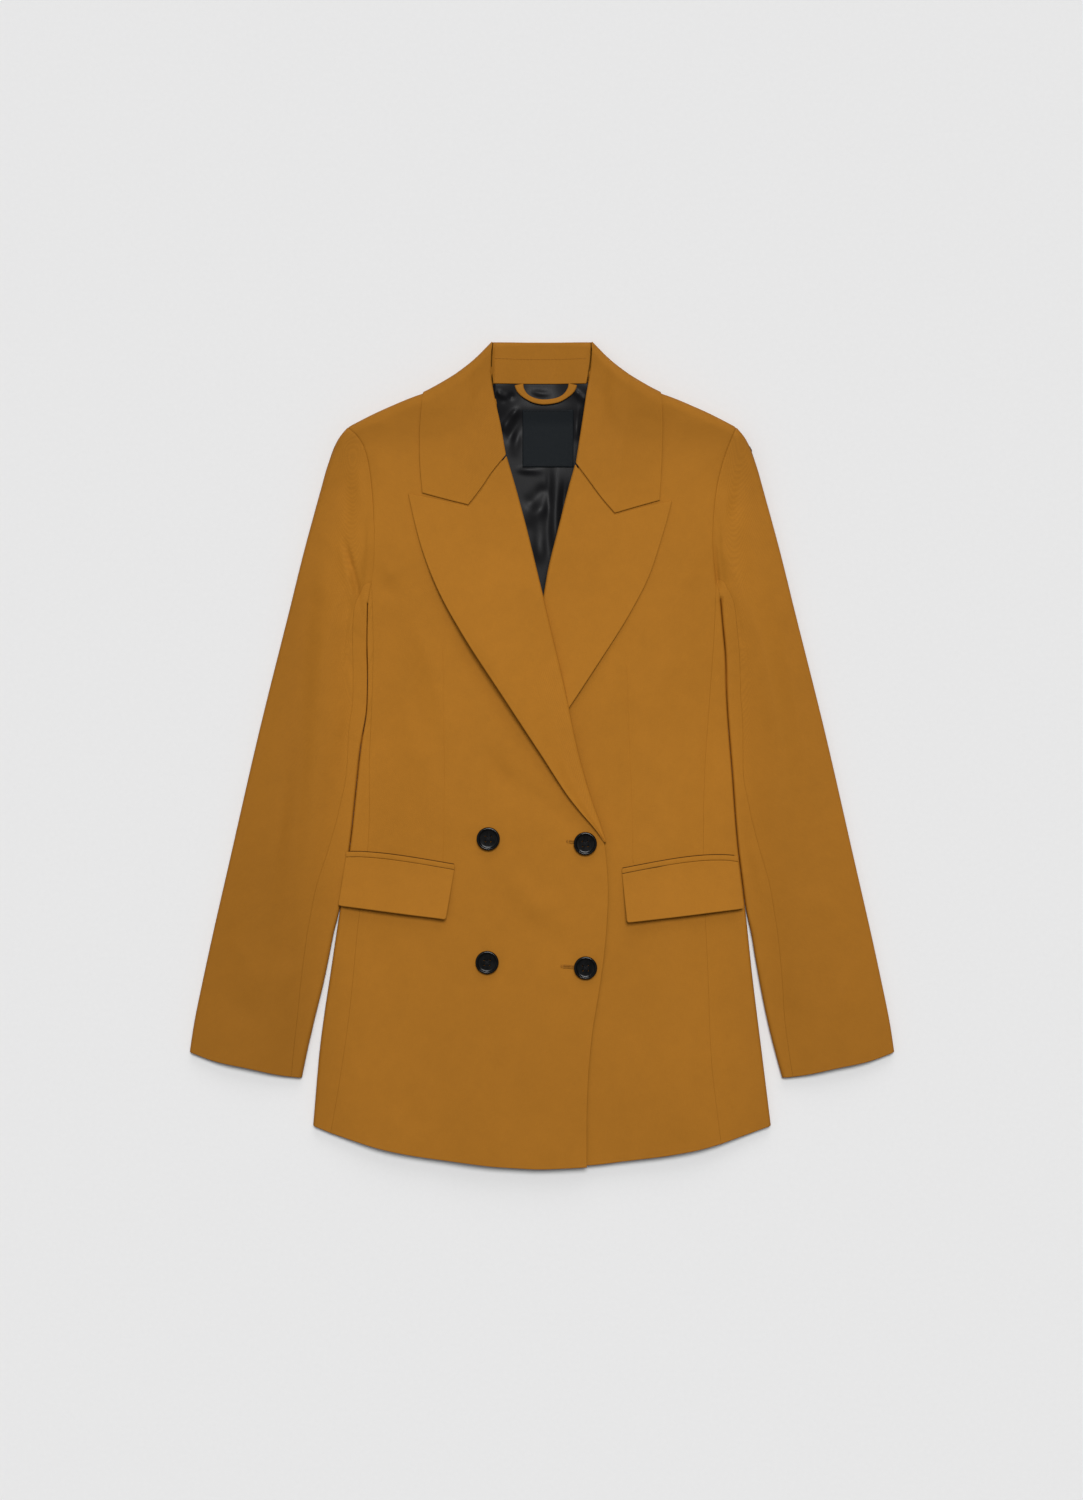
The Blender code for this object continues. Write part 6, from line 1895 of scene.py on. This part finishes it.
class BLAZER_OT_neck(bpy.types.Operator):
    """Make the lining, hanger loop and blank label"""
    bl_idname = "blazer.neck"
    bl_label = "Inside the neck"

    def execute(self, context):
        make_lining(both_sides(), satin_now(context))
        make_loop(both_sides(), suiting_now(context))
        make_label(both_sides(), material_of("label_ribbon", woven_label))
        return {"FINISHED"}


class BLAZER_OT_pockets(bpy.types.Operator):
    """Make jets and flaps; needs the body"""
    bl_idname = "blazer.pockets"
    bl_label = "Pockets"

    def execute(self, context):
        # dark cords in the jet's seams, painted shadow for their grooves
        shadowed = thread_like_cloth(context, "thread_deep", 0.16)
        for side in both_sides():
            make_pocket(side, suiting_now(context))
            make_pocket_seam_shadows(side, shadowed)
        return {"FINISHED"}


class BLAZER_OT_buttons(bpy.types.Operator):
    """Make buttons with their thread, and the buttonholes; needs the body"""
    bl_idname = "blazer.buttons"
    bl_label = "Buttons"

    def execute(self, context):
        black = material_of("button_polished", polished_black)
        for name, place in BUTTONS.items():
            make_button(name, place, black, black_thread())
        for name, ends in BUTTONHOLES.items():
            make_buttonhole(name, ends, self_thread(context))
        return {"FINISHED"}


class BLAZER_OT_sewing(bpy.types.Operator):
    """Make the stand's stitches, the label's stitches and the darts; needs the body"""
    bl_idname = "blazer.sewing"
    bl_label = "Sewing"

    def execute(self, context):
        stitch_row("stitches_stand", STAND_STITCHES, ("collar_stand",), self_thread(context))
        x0, y0, x1, y1 = LABEL_BOX
        for name, y in (("top", y1 - LABEL_INSET), ("low", y0 + LABEL_INSET)):
            stitch_row("stitches_label_" + name, ((x0 + LABEL_INSET, y), (x1 - LABEL_INSET, y)),
                       ("label",), black_thread())
        for side in both_sides():
            make_dart(side, suiting_now(context))
        return {"FINISHED"}


class BLAZER_OT_stage(bpy.types.Operator):
    """Lay the floor and set lamps and camera"""
    bl_idname = "blazer.stage"
    bl_label = "Floor, light and camera"

    def execute(self, context):
        lay_floor()
        light(context.scene.blazer)
        set_camera()
        return {"FINISHED"}


STEPS = (BLAZER_OT_body, BLAZER_OT_sleeves, BLAZER_OT_collar, BLAZER_OT_neck, BLAZER_OT_pockets,
         BLAZER_OT_buttons, BLAZER_OT_sewing, BLAZER_OT_stage)


class VIEW3D_PT_blazer(bpy.types.Panel):
    """The making of the blazer, step by step"""
    bl_label = "Blazer"
    bl_idname = "VIEW3D_PT_blazer"
    bl_space_type = "VIEW_3D"
    bl_region_type = "UI"
    bl_category = "Blazer"

    def draw(self, context):
        settings = context.scene.blazer
        for key in ("cloth_colour", "lining_colour", "weave_pitch", "crease_depth", "key_light",
                    "fill_light"):
            self.layout.prop(settings, key)
        for step in STEPS:
            self.layout.operator(step.bl_idname)


CLASSES = (BlazerSettings,) + STEPS + (VIEW3D_PT_blazer,)


def register():
    for kind in CLASSES:
        bpy.utils.register_class(kind)
    bpy.types.Scene.blazer = bpy.props.PointerProperty(type=BlazerSettings)


def unregister():
    del bpy.types.Scene.blazer
    for kind in reversed(CLASSES):
        bpy.utils.unregister_class(kind)


def main():
    """Make every piece in order."""
    register()
    bpy.ops.blazer.body()
    bpy.ops.blazer.sleeves()
    bpy.ops.blazer.collar()
    bpy.ops.blazer.neck()
    bpy.ops.blazer.pockets()
    bpy.ops.blazer.buttons()
    bpy.ops.blazer.sewing()
    bpy.ops.blazer.stage()


if __name__ == "__main__":
    main()
